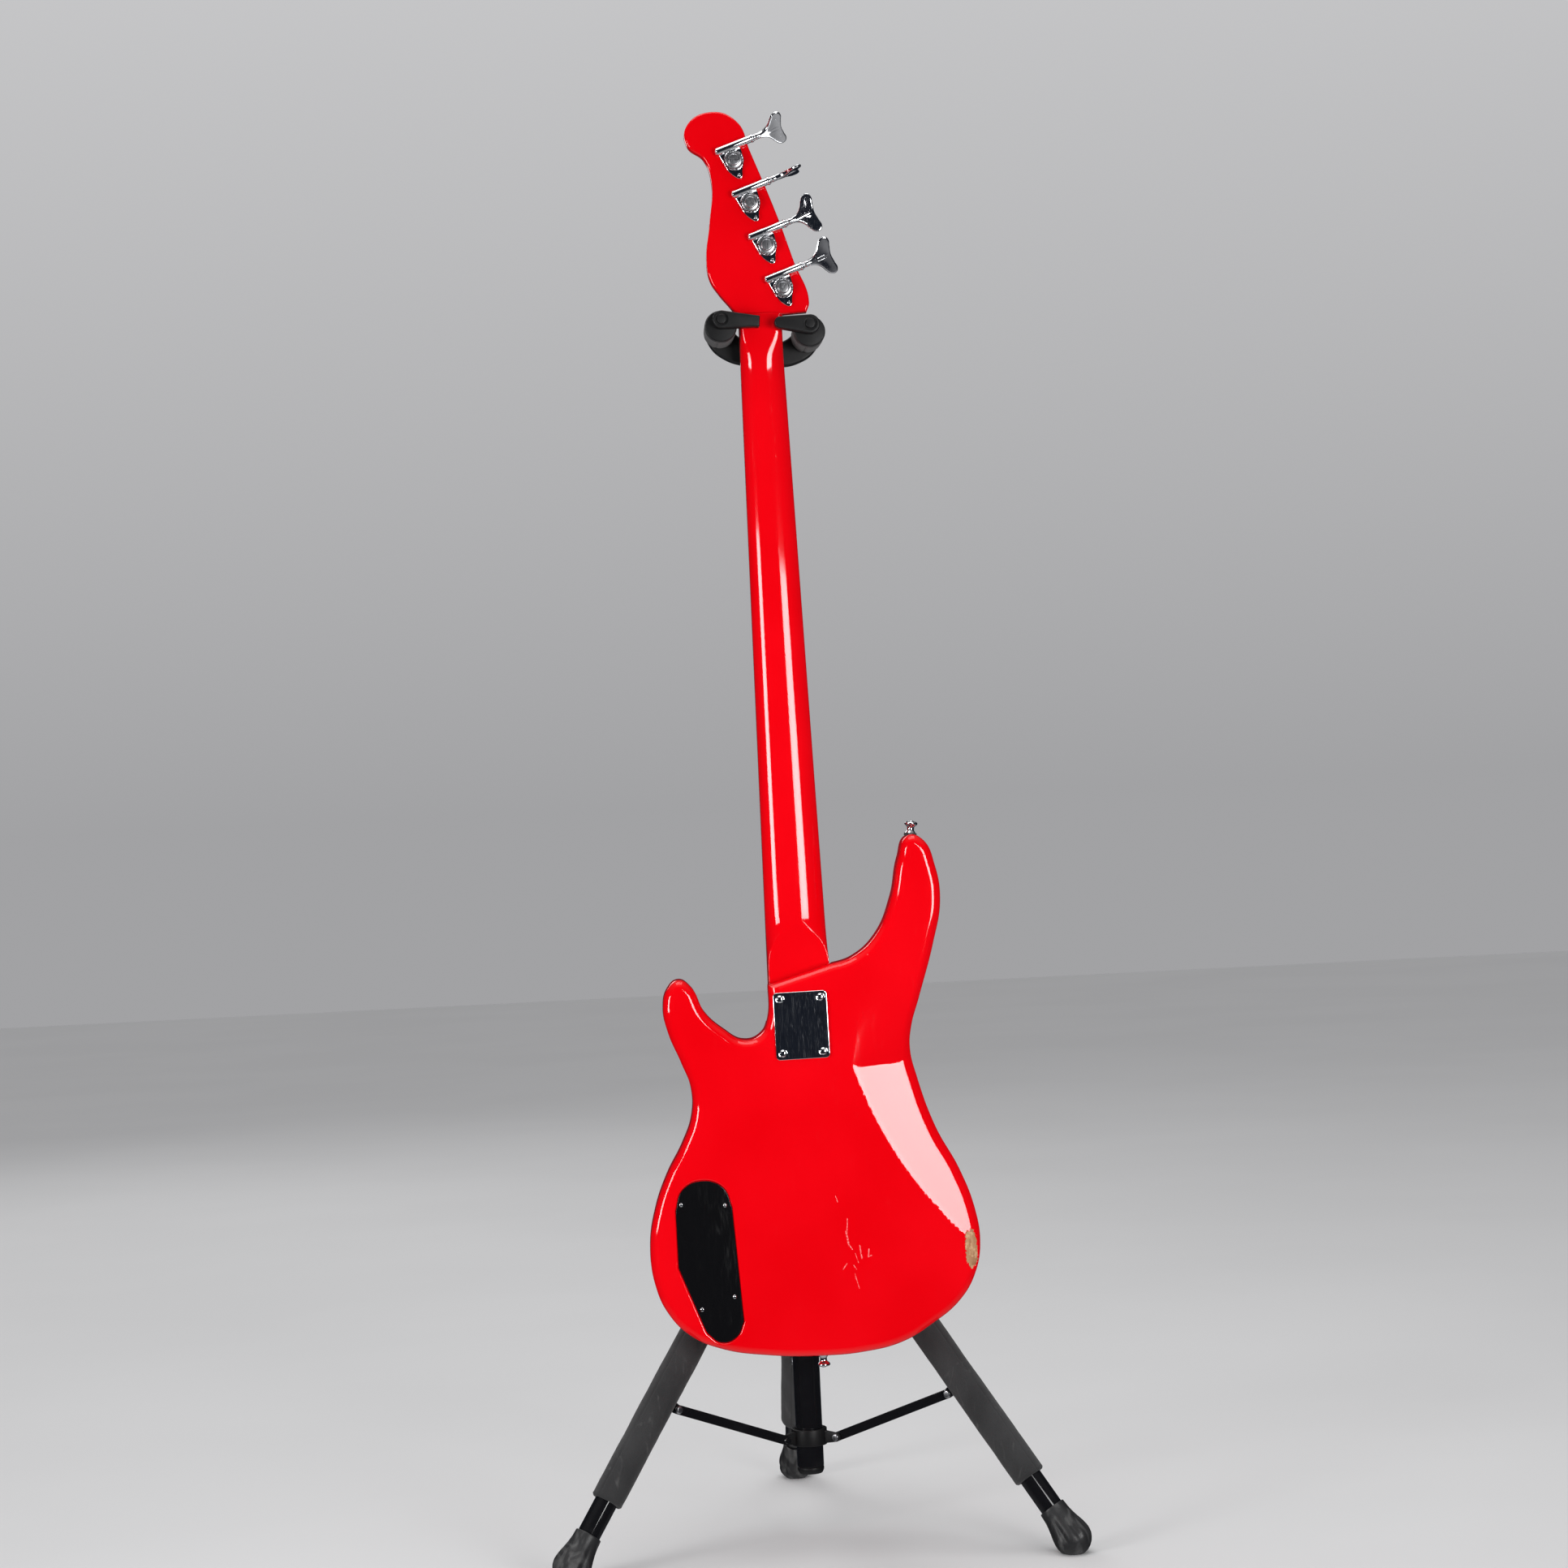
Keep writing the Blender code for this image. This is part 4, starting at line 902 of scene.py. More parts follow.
def make_board():
    low = GLUE_PLANE + GAP
    face = low + BOARD_THICK
    sections = []
    for i in range(30):
        s = BOARD_END_S + (NUT_S - 0.3 - BOARD_END_S) * i / 29
        half = neck_half(s)
        crown = []
        for j in range(25):
            u = 1 - j / 12
            crown.append((half * u, face - BOARD_CROWN * u * u))
        sections.append((s, [(-half, low), (half, low)] + crown))
    piece("rosewood_board", loft("board", sections), GUITAR, "rosewood", "guitar", "fingerboard")
    frets, dots = [], []
    for n in range(1, FRETS + 1):
        s = NUT_S - SCALE * (1 - 2 ** (-n / 12))
        frets.append(fret(f"fret_{n}", s, face))
        if n in DOTTED_FRETS:
            before = NUT_S - SCALE * (1 - 2 ** (-(n - 1) / 12))
            for x in ((-9, 9) if n in (12, 24) else (0,)):
                top = face - BOARD_CROWN * (x / neck_half(s)) ** 2
                at = (x, (s + before) / 2)
                dots.append(peg(f"dot_{n}", at, top - 1, top + 0.06, 3.2, edge=0.05))
    piece("frets", merged("frets", frets), GUITAR, "steel", "guitar")
    piece("position_dots", merged("dots", dots), GUITAR, "pearl", "guitar")


def fret(name, s, level):
    """A crowned wire across the board, with its ends bevelled."""
    half = neck_half(s)
    rings = []
    for j in range(17):
        u = -1 + j / 8
        sunk = level - BOARD_CROWN * u * u - 0.15
        rise = 0.35 if abs(u) == 1 else 1.0
        angles = [math.pi * k / 6 for k in range(7)]
        rings.append([(half * u, sunk + rise * math.sin(a), s + 1.35 * math.cos(a))
                      for a in angles])
    return skin(name, rings)


def string_x(i, s):
    """Where a string lies across the board: the thinnest is on the -x side."""
    share = (s - SADDLE_S) / (NUT_S - SADDLE_S)
    spacing = BRIDGE_SPACING + (NUT_SPACING - BRIDGE_SPACING) * share
    return (i - 1.5) * spacing


def make_nut():
    y = GLUE_PLANE + GAP
    nut = piece("bone_nut",
                block("bone_nut", (-NUT_HALF, y, NUT_S), (NUT_HALF, y + 7.9, NUT_S + 4.5), 0.9),
                GUITAR, "bone", "guitar", "nut")
    slots = []
    for i, radius in enumerate(STRING_RADII):
        x = string_x(i, NUT_S)
        slots.append(tool(rod(
            f"nut_slot_{i}", (x, y + 7.6, NUT_S - 3), (x, y + 7.2, NUT_S + 8), radius + 0.15)))
    combine(nut, slots, "DIFFERENCE")


# ---------------------------------------------------------------------------- the body's fittings


def plate_holes():
    x, z = PLATE_CENTRE
    across, up = PLATE_SCREWS
    return [(x + a * across, z + b * up) for a in (-1, 1) for b in (-1, 1)]


def make_plate():
    x, z = PLATE_CENTRE
    across, up = PLATE_FLAT
    outline = []
    for a, b, first in ((1, 1, 0), (-1, 1, 90), (-1, -1, 180), (1, -1, 270)):
        for step in range(7):
            angle = math.radians(first + 15 * step)
            outline.append((x + a * across + PLATE_CORNER * math.cos(angle),
                            z + b * up + PLATE_CORNER * math.sin(angle), 1))
    plate = piece("chrome_neck_plate", slab("plate", outline, -2.2, -0.1, 0.7, 2, 4), GUITAR,
                  "chrome", "guitar", "neck_plate")
    wells = [tool(peg(f"well_{n}", at, -4, -1.4, 5.2, 3.6, edge=0.1), look="chrome")
             for n, at in enumerate(plate_holes())]
    combine(plate, wells, "DIFFERENCE")
    heads = [screw(f"neck_screw_{n}", (px, -1.2, pz), 4.2, 2.2)
             for n, (px, pz) in enumerate(plate_holes())]
    piece("neck_screws", merged("neck_screws", heads), GUITAR, "chrome", "guitar")


def make_cover():
    middle = Vector(COVER_MIDDLE)
    inset = []
    for x, z, *corner in COVER_OUTLINE:
        away = Vector((x, z)) - middle
        away *= 1 - COVER_ROOM / away.length
        inset.append((middle.x + away.x, middle.y + away.y, *corner))
    piece("cavity_cover", slab("cavity_cover", inset, 0.5, 2.3, 0.35, 12, 3), GUITAR, "cover",
          "guitar", "control_cover")
    heads = [screw(f"cover_screw_{n}", (x, 0.35, z), 1.9, 0.8)
             for n, (x, z) in enumerate(COVER_SCREWS)]
    piece("cover_screws", merged("cover_screws", heads), GUITAR, "chrome", "guitar")


def make_strap_buttons():
    profile = [(0, 12), (4.2, 12), (6.2, 11), (6.2, 9.3), (3.4, 7), (3.2, 4), (5.6, 0.4),
               (5.6, 0.1), (0, 0.1)]
    for name, (x, z), (dx, dz) in (("horn", (112.5, 484.6), (-0.12, -0.993)),
                                   ("end", (1.0, 0.0), (0.0, 1.0))):
        within = place((x, 20, z), (0, math.degrees(math.atan2(-dx, -dz)), 0), GUITAR)
        button = lathe(f"button_{name}", profile, 48, 1.0)
        head = screw(f"button_screw_{name}", (0, 0, 0), 2.8, 1.2)
        head = moved(head, place((0, 0, 11.9), (-90, 0, 0)))
        felt = lathe(f"felt_{name}", [(0, 1.2), (6.1, 1.2), (6.1, -1.5), (0, -1.5)], 32, 0.4)
        piece(f"chrome_button_{name}", merged(f"button_{name}", [button, head]), within, "chrome",
              "guitar", f"strap_button_{name}")
        piece(f"felt_washer_{name}", felt, within, "foam", "guitar", slot="black_plastic")


def make_knobs():
    def knurl(angle, z):
        return 1 + (0.014 * math.cos(36 * angle) if 1.5 < z < 15.5 else 0)

    for n, (x, z) in enumerate(KNOB_PLACES):
        within = place((x, BODY_DEPTH, z), (-90, 0, 0), GUITAR)
        profile = [(0, 16.6), (6.4, 16.6), (7.0, 17.4), (8.2, 17.4)]
        profile += [(8.2 + 1.0 * (1 - h / 15.6), h) for h in (15.6, 14, 8, 2)]
        profile += [(9.0, 0.9), (3.2, 0.9), (3.2, -12), (0, -12)]
        cap = lathe(f"knob_{n}", profile, 144, 0.5, knurl)
        line = block(f"knob_line_{n}", (-0.4, 3, 17.0), (0.4, 8, 17.45), 0.1)
        piece(f"chrome_knob_{n + 1}", merged(f"knob_{n}", [cap, line]), within, "chrome",
              f"control_knob_{n + 1}", f"control_knob_{n + 1}")


def make_jack():
    x, z = JACK_PLACE
    within = place((x, BODY_DEPTH, z), (-90, 0, 0), GUITAR)
    barrel = lathe("jack_barrel", [(3.4, 4), (5.4, 4), (5.4, -22), (3.4, -22)], 48, 0.5, ring=True)
    washer = lathe("jack_washer", [(5.5, 1.3), (10.8, 1.1), (10.8, 0.1), (5.5, 0.1)], 64, 0.4,
                   ring=True)
    nut = lathe("jack_nut", [(5.5, 3.6), (7.0, 3.6), (7.0, 1.2), (5.5, 1.2)], 6, 0.5, ring=True)
    piece("jack_socket", merged("jack_socket", [barrel, washer, nut]), within, "chrome", "guitar",
          "output_jack")


def make_pickups():
    for name, low, high, half in PICKUPS:
        middle = (low + high) / 2
        shell = block(name, (-half, ROUTE_FLOOR + 2, low), (half, BODY_DEPTH + 6.8, high), 2.2, 5)
        piece(f"{name}_shell", shell, GUITAR, "pickup", "guitar", name)
        heads = []
        for side in (-1, 1):
            head = screw(f"{name}_screw_{side}", (0, 0, 0), 2.2, 1.0)
            at = place((side * (half - 5), BODY_DEPTH + 6.5, middle), (0, 0, 180))
            heads.append(moved(head, at))
        piece(f"{name}_screws", merged(name, heads), GUITAR, "chrome", "guitar")


def make_bridge():
    low, high, half = SADDLE_S - 45, SADDLE_S + 20, 40.0
    face = BODY_DEPTH + GAP
    base, screw_y = face + 2.6, face + 6.5
    parts = [
        block("bridge_base", (-half, face, low), (half, face + 2.3, high), 0.7),
        block("bridge_wall", (-half, face, low), (half, face + 12, low + 2.4), 0.8),
    ]
    for x in (-33, -16, 0, 16, 33):
        head = screw(f"bridge_screw_{x}", (0, 0, 0), 3.0, 0.28)
        parts.append(moved(head, place((x, face + 2.2, high - 6), (0, 0, 180))))
    for i in range(4):
        x = string_x(i, SADDLE_S) - INTONATION_OFFSET
        parts.append(rod(f"intonation_{i}", (x, screw_y, low - 1.5), (x, screw_y, SADDLE_S - 9), 1.4))
    piece("bridge_base", merged("bridge_base", parts), GUITAR, "chrome", "guitar", "bridge_plate")
    for i in range(4):
        make_saddle(i, string_x(i, SADDLE_S), base)
        spring = coil(f"saddle_spring_{i + 1}", string_x(i, SADDLE_S) - INTONATION_OFFSET, screw_y,
                      low + 2.6, SADDLE_S - 15.4)
        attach(spring, "guitar")


def make_saddle(i, x, base):
    body = f"saddle_{i + 1}"
    shape = block(body, (x - 8, base, SADDLE_S - 9), (x + 8, base + 9.9, SADDLE_S + 7), 1.6, 4)
    saddle = piece(f"chrome_saddle_{i + 1}", shape, GUITAR, "chrome", body, f"bridge_saddle_{i + 1}")
    y = base + 10.4
    groove = rod(f"groove_{i}", (x, y, SADDLE_S - 20), (x, y, SADDLE_S + 20), 1.7)
    holes = [tool(groove, look="chrome")]
    for side in (-5.2, 5.2):
        hole = peg(f"grub_{i}_{side}", (x + side, SADDLE_S - 1), base + 6, base + 14, 1.5, edge=0.1)
        holes.append(tool(hole, look="chrome"))
    combine(saddle, holes, "DIFFERENCE")


def coil(name, x, y, low, high, radius=2.3, turns=9):
    """A compression spring along z, as a curve."""
    points = []
    for i in range(turns * 12 + 1):
        angle = 2 * math.pi * i / 12
        share = i / (turns * 12)
        points.append((x + radius * math.cos(angle), y + radius * math.sin(angle),
                       low + (high - low) * share))
    return wire(name, points, 0.35, "steel")


def wire(name, points, radius, look):
    """A round wire through points in the guitar's frame."""
    curve = bpy.data.curves.new(name, "CURVE")
    curve.dimensions = "3D"
    curve.bevel_depth = radius * MM
    curve.bevel_resolution = 3
    curve.use_fill_caps = True
    spline = curve.splines.new("POLY")
    spline.points.add(len(points) - 1)
    for point, at in zip(spline.points, points):
        point.co = (*(GUITAR @ Vector(at) * MM), 1)
    curve.materials.append(LOOKS[look])
    made = bpy.data.objects.new(name, curve)
    bpy.context.scene.collection.objects.link(made)
    return made


# -------------------------------------------------------------------------------------- tuners


def tuner_place(i):
    return -17 + 13.3 * i, 1131 - 41 * i


def gear_swell(angle, z):
    return 1 + (0.045 * math.cos(20 * angle) if 19 < -z < 22.4 else 0)


def make_tuner(i):
    number = i + 1
    x, z = tuner_place(i)
    within = place((x, 0, z), (0, -TUNER_ANGLE, 0), GUITAR)
    worm = (WORM_Y, WORM_Z)
    parts = [
        slab("tuner_base", TUNER_OUTLINE, 22.6, HEAD_BACK - 0.1, 0.9, 10, 4),
        block("tuner_saddle", (-11, WORM_Y, WORM_Z - 2.6), (10.4, 24, WORM_Z + 2.6), 0.8),
        rod("tuner_tube", (-13, *worm), (24, *worm), 3.7, 3.5, edge=0.7, sides=48),
        rod("tuner_cap", (-13.6, *worm), (-12, *worm), 2.2, edge=0.4),
        rod("tuner_lip", (22.2, *worm), (24.6, *worm), 4.0, edge=0.6),
        moved(lathe("gear_seat", [(8.9, 22.9), (9.7, 22.9), (9.7, 20.6), (8.9, 20.6)], 64, 0.4,
                    ring=True), place(turn=(-90, 0, 0))),
        screw("tuner_screw", (-0.2, 22.7, -14.6), 1.8, 0.9),
    ]
    piece(f"tuner_housing_{number}", merged("tuner_housing", parts), within, "chrome", "guitar",
          f"tuner_plate_{number}")
    post = lathe(f"post_{number}", [
        (0, -17.3), (4.9, -17.3), (5.4, -18.3), (7.4, -18.6), (8.5, -19.4), (8.5, -22.4),
        (5, -22.6), (5, -39.4), (6.4, -39.5), (6.4, -41.5), (4.4, -43), (4.1, -46), (4.1, -50),
        (5.5, -55.6), (4.6, -57), (0, -57)], 80, 0.4, gear_swell)
    post = moved(post, place(turn=(90, 0, 0)))
    made = piece(f"tuner_gear_{number}", post, within, "steel", f"tuner_post_{number}",
                 f"tuner_post_{number}", slot="chrome")
    slot = block("gear_slot", (-4.4, 15, -0.7), (4.4, 18.1, 0.7), 0)
    top_slot = block("post_slot", (-8, 52.4, -0.9), (8, 60, 0.9), 0)
    tools = [tool(slot, within @ place(turn=(0, 25 + 40 * i, 0)), "steel"),
             tool(top_slot, within @ place(turn=(0, 60, 0)), "steel")]
    combine(made, tools, "DIFFERENCE")
    key_frame = place((0, *worm), (TUNER_TURNS[i], 0, 0), within)
    parts = [
        paddle(),
        rod("key_shaft", (20, 0, 0), (33, 0, 0), 2.1),
        rod("key_ring", (24.9, 0, 0), (26.6, 0, 0), 3.1, edge=0.6),
        rod("key_neck", (27.2, 0, 0), (42, 0, 0), 3.1, 1.7, edge=1.0),
    ]
    piece(f"clover_key_{number}", merged("key", parts), key_frame, "chrome", f"tuner_key_{number}",
          f"tuner_key_{number}")


def paddle():
    """A fishtail key that gets thinner from its stem out, and is slightly dished."""
    mesh = slab("paddle", KEY_OUTLINE, -2.5, 2.5, 1.7, 12, 6)
    shape = bmesh.new()
    shape.from_mesh(mesh)
    bmesh.ops.triangulate(shape, faces=[f for f in shape.faces if len(f.verts) > 4])
    long_edges = [e for e in shape.edges if e.calc_length() > 2.2]
    bmesh.ops.subdivide_edges(shape, edges=long_edges, cuts=2)
    for v in shape.verts:
        out = min(1.0, max(0.0, (v.co.x - 34) / 18))
        dish = 0.35 * math.exp(-((v.co.x - 49) / 6) ** 2 - (v.co.z / 13) ** 2)
        v.co.y *= 1.0 - 0.42 * out * out * (3 - 2 * out) - dish
    return mesh_of("paddle", shape)


def make_strings():
    for i, radius in enumerate(STRING_RADII):
        x, nut_x = string_x(i, SADDLE_S), string_x(i, NUT_S)
        px, pz = tuner_place(i)
        turn = POST_R + radius
        points = [
            (x, BODY_DEPTH + 7, SADDLE_S - 43.4), (x, BODY_DEPTH + 8.5, SADDLE_S - 38),
            (x, STRING_HEIGHT + 0.7, SADDLE_S - 27), (x, STRING_HEIGHT + 0.9, SADDLE_S),
            (nut_x, GLUE_PLANE + 7.9, NUT_S + 1), (nut_x, GLUE_PLANE + 7.4, NUT_S + 4.5),
            (px - turn, WRAP_Y, pz),
        ]
        for k in range(1, 34):
            a = math.pi - 2 * math.pi * k / 12
            y = WRAP_Y - 0.16 * radius * k / 1.2
            points.append((px + turn * math.cos(a), y, pz + turn * math.sin(a)))
        string = wire(f"bass_string_{i + 1}", points, radius, "string")
        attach(string, "guitar")


def make_guide():
    within = place((6, HEAD_FACE, 1012), (-90, 0, 0), GUITAR)
    button = lathe("guide", [(0, 9), (5.6, 9), (6.5, 8.2), (6.5, 7), (3, 6), (3, 0.1), (0, 0.1)],
                   48, 0.6)
    piece("guide_button", button, within, "chrome", "guitar", "string_guide")


# ------------------------------------------------------------------------------------ the stand


def make_column():
    tube = lathe("tube", [(TUBE_R, 480), (TUBE_R, 68), (11, 68), (11, 480)], 64, 0.6, ring=True)
    piece("stand_tube", tube, STAND, "enamel", "stand", "column_tube")
    plug = lathe("plug", [(0, 86), (10.6, 86), (10.6, 67.6), (TUBE_R, 67.6), (TUBE_R, 64.5),
                          (11.4, 61.2), (7, 60.3), (0, 60.3)], 64, 0.8)
    piece("tube_plug", plug, STAND, "plastic", "stand", "column_plug")
    shaft = lathe("shaft", [(10.3, 1120), (10.3, 200), (8.3, 200), (8.3, 1120)], 64, 0.4,
                  ring=True)
    piece("upper_shaft", shaft, STAND, "enamel", "shaft", "height_shaft")


def make_collar():
    ring = lathe("collar", [(17.3, 105), (17.3, 89), (13.3, 89), (13.3, 105)], 64, 1.0, ring=True)
    collar = piece("strut_ring", ring, STAND, "plastic", "stand", "strut_collar")
    lugs, bolts = [], []
    for side, azimuth in LEG_AZIMUTHS.items():
        within = place(turn=(0, 0, azimuth), within=STAND)
        lug = slab("lug", capsule((15.5, COLLAR_Z), (COLLAR_PIVOT_R, COLLAR_Z), 6.5, 4.5), -1.5,
                   1.5, 0.4, 4, 2)
        lugs.append(tool(lug, within, "plastic"))
        at = (COLLAR_PIVOT_R, COLLAR_Z)
        bolt = merged("bolt", [
            peg("bolt", at, -3.4, 1.6, 2.1, edge=0.3),
            peg("bolt_head", at, -3.4, -1.5, 3.4, edge=0.8)])
        bolts.append(moved(bolt, place(turn=(0, 0, azimuth))))
    combine(collar, lugs, "UNION")
    piece("collar_bolts", merged("collar_bolts", bolts), STAND, "steel", "stand")


def leg_frame(azimuth):
    angle = math.radians(azimuth)
    pivot = (PIVOT_R * math.cos(angle), PIVOT_R * math.sin(angle), PIVOT_Z)
    return place(pivot, (0, -LEG_ANGLE, azimuth), STAND)


def sleeve(name, radius, hollow, low, high, seam, seed, sides=72, step=2.5):
    """A foam tube with rounded ends, soft dents and a glued seam along it."""
    rows = int((high - low) / step)
    profile = [(hollow, high - 1), (hollow, high), (radius - 1.5, high)]
    profile += [(radius, high - 1.5 - (high - low - 3) * i / rows) for i in range(rows + 1)]
    profile += [(radius - 1.5, low), (hollow, low), (hollow, low + 1)]
    rings = []
    for r, z in profile:
        ring = []
        for k in range(sides):
            a = 2 * math.pi * k / sides
            push = 0.0
            if r > radius - 2:
                at = Vector((math.cos(a), math.sin(a), z / 34 + seed))
                push = 0.45 * noise.noise(at * 1.3) + 0.16 * noise.noise(at * 5)
                off = (a - seam + math.pi) % (2 * math.pi) - math.pi
                push -= 0.75 * math.exp(-(off / 0.05) ** 2)
                push = min(0.0, push - 0.15)
            ring.append(((r + push) * math.cos(a), (r + push) * math.sin(a), z))
        rings.append(ring)
    return skin(name, rings, True, 50)


def foot_swell(angle, z):
    """Flutes that are deepest halfway down the boot."""
    deep = math.exp(-((z - 6) / 13) ** 2)
    return 1 - 0.10 * deep * (0.5 + 0.5 * math.cos(8 * angle)) ** 2


def make_leg(side, azimuth):
    within = leg_frame(azimuth)
    body = f"leg_{side}"
    tube = lathe("leg", [(0, -16), (LEG_R, -16), (LEG_R, -LEG_LENGTH), (9.2, -LEG_LENGTH),
                         (9.2, -60), (0, -60)], 56, 0.8)
    leg = piece(f"leg_pipe_{side}", tube, within, "enamel", body, f"leg_tube_{side}")
    tongue = slab("tongue", capsule((0, 0), (0, -22), 7.5, 7.5), -6, 6, 0.8, 4, 3)
    lug = slab("leg_lug", capsule((-8, -LUG_ALONG), (-LUG_OFFSET, -LUG_ALONG), 6, 4.5), -1.5, 1.5,
               0.4, 4, 2)
    combine(leg, [tool(tongue, within, "enamel"), tool(lug, within, "enamel")],
            "UNION")
    bore = tool(peg("pin_bore", (0, 0), -8, 8, 3.3), within, "enamel")
    combine(leg, [bore], "DIFFERENCE")
    at = (-LUG_OFFSET, -LUG_ALONG)
    rivet = merged("rivet", [
        peg("shank", at, -3, 6.6, 2.2),
        peg("cap", at, 5.0, 6.6, 4.2, 3, edge=0.6),
        peg("cap", at, -1.6, -3.2, 4.2, 3, edge=0.6)])
    piece(f"leg_rivet_{side}", rivet, within, "steel", body)
    seam = math.radians({"left": 20, "right": -25, "rear": 160}[side])
    foam_mesh = sleeve("sleeve", FOAM_R, LEG_R + GAP, -326, -30, seam, azimuth / 7)
    foam_tube = piece(f"leg_sleeve_{side}", foam_mesh, within, "foam", body, f"leg_foam_{side}")
    boot = lathe("boot", [
        (LEG_R + GAP, 33), (12.9, 33), (13.1, 30), (13.3, 25), (14.2, 19), (15.6, 13),
        (17.2, 7), (18.0, 2), (18.1, -2), (17.2, -6.5), (15.3, -10), (12.8, -13.2), (9.3, -16),
        (5, -18), (0, -18.6), (0, -3.6), (LEG_R + GAP, -3.6)], 128, 1.2, foot_swell, ring=True)
    boot = piece(f"rubber_foot_{side}", boot, within @ place((0, 0, -LEG_LENGTH)), "rubber", body,
                 f"leg_foot_{side}")
    floor_cut = tool(block("floor_cut", (-400, -400, -60), (400, 400, 0), 0), STAND,
                     "rubber")
    combine(boot, [floor_cut], "DIFFERENCE")


def make_strut(side, azimuth):
    angle = math.radians(LEG_ANGLE)
    out = PIVOT_R + LUG_ALONG * math.sin(angle) - LUG_OFFSET * math.cos(angle)
    high = PIVOT_Z - LUG_ALONG * math.cos(angle) - LUG_OFFSET * math.sin(angle)
    length = math.hypot(out - COLLAR_PIVOT_R, high - COLLAR_Z)
    slope = math.degrees(math.atan2(high - COLLAR_Z, out - COLLAR_PIVOT_R))
    turn = math.radians(azimuth)
    within = place((out * math.cos(turn), out * math.sin(turn), high), (0, 90 - slope, azimuth),
                   STAND)
    strap = slab("strap", capsule((0, 0), (0, -length), 4.5, 4.5), 1.8, 4.8, 0.5, 4, 3)
    made = piece(f"strut_strap_{side}", strap, within, "enamel", f"strut_{side}", f"strut_{side}")
    hole = peg("strap_hole", (0, 0), -2, 9, 2.4, edge=0.1)
    combine(made, [tool(hole, within, "enamel")], "DIFFERENCE")
    cap = peg("strap_cap", (0, -length), 4.4, 5.8, 3.4, 2.6, edge=0.4)
    combine(made, [tool(cap, within, "enamel")], "UNION")


def make_hub():
    base = PIVOT_Z
    ring = lathe("hub", [(13.3, base + 20), (20, base + 20), (24, base + 15), (24, base - 12),
                         (22, base - 14), (13.3, base - 14)], 72, 1.2, ring=True)
    hub = piece("leg_clamp", ring, STAND, "plastic", "hub", "leg_hub")
    ears, slots, pins = [], [], []
    for side, azimuth in LEG_AZIMUTHS.items():
        turn = place(turn=(0, 0, azimuth))
        ear = block("ear", (18, -11, base - 9), (PIVOT_R + 8, 11, base + 9), 2.0, 4)
        slot = block("slot", (PIVOT_R - 10, -6.4, base - 20), (60, 6.4, base + 12), 0)
        ears.append(tool(ear, STAND @ turn, "plastic"))
        slots.append(tool(slot, STAND @ turn, "plastic"))
        pins.append(moved(peg("pin", (PIVOT_R, base), -12, 12, 3.0, edge=0.6), turn))
    combine(hub, ears, "UNION")
    screw_hole = rod("screw_hole", (10, 0, base), (40, 0, base), 3.3)
    slots.append(tool(screw_hole, place(turn=(0, 0, 30), within=STAND), "plastic"))
    bore = rod("hub_bore", (0, 0, base - 30), (0, 0, base + 30), 13.3, sides=72)
    slots.append(tool(bore, STAND, "plastic"))
    combine(hub, slots, "DIFFERENCE")
    piece("hub_pins", merged("hub_pins", pins), STAND, "steel", "hub")

    def lobes(angle, z):
        return 1 - (0.09 * (0.5 + 0.5 * math.cos(6 * angle)) if z > 30 else 0)

    knob = lathe("knob", [(0, 42), (9, 42), (11.6, 40), (11.6, 31), (9, 29), (5, 28), (5, 24.7),
                          (3, 24.5), (3, 14.2), (0, 14.2)], 72, 0.9, lobes)
    piece("clamp_knob", knob, place((0, 0, base), (0, 90, 30), STAND), "plastic", "hub_knob",
          "hub_knob")


def make_clutch():
    def ribs(angle, z):
        return 1 - (0.03 * (0.5 + 0.5 * math.cos(24 * angle)) if 474 < z < 508 else 0)

    seat = 480.3
    bands = [(18, z) for z in (532, 509, 507, 490, 475, 473, 469)]
    shell = lathe("clutch", [(10.6, 536), (15, 536), *bands, (16, 466), (13.3, 466), (13.3, seat),
                             (10.6, seat)], 96, 0.8, ribs, ring=True)
    housing = piece("clutch_body", shell, STAND, "plastic", "stand", "clutch_housing")
    ears = [tool(block("clutch_ear", (x, 14, 512), (x + 3, 28, 528), 1.0), STAND, "plastic")
            for x in (-9.5, 6.5)]
    combine(housing, ears, "UNION")
    piece("clutch_pin", rod("clutch_pin", (-9.8, 23, 520), (9.8, 23, 520), 2), STAND, "steel",
          "stand")
    within = place((0, 23, 520), (0, 0, 90), STAND)
    lever = slab("lever", capsule((0, 0), (3.5, -44), 4, 3), -6, 6, 1.2, 6, 4)
    made = piece("clutch_grip", lever, within, "plastic", "clutch_lever", "clutch_lever")
    hole = tool(peg("lever_hole", (0, 0), -8, 8, 2.3), within, "plastic")
    combine(made, [hole], "DIFFERENCE")


def make_carrier():
    carrier = lathe("carrier", [(6.3, 1130), (13, 1130), (15, 1127), (15, 1085), (10.5, 1085),
                                (10.5, 1120.3), (6.3, 1120.3)], 64, 0.9, ring=True)
    piece("shaft_head", carrier, STAND, "plastic", "shaft", "yoke_carrier")
    core = block("plunger", (YOKE_X - 11, -57.7, 1138), (YOKE_X + 11, -10, 1163), 2.5, 4)
    plunger = piece("spring_block", core, STAND, "plastic", "plunger", "yoke_plunger")
    at = (YOKE_X, YOKE_HEIGHT)
    helpers = [
        rod("cap", (0, 0, 1130.4), (0, 0, 1163), 15, edge=2.0, sides=64),
        rod("stem", (0, 0, 1060), (0, 0, 1140), 6),
        peg("pin", at, -50, -71, 5),
        peg("head", at, -70.3, -72.8, 8, 7, edge=0.8),
    ]
    combine(plunger, [tool(m, STAND, "plastic") for m in helpers], "UNION")


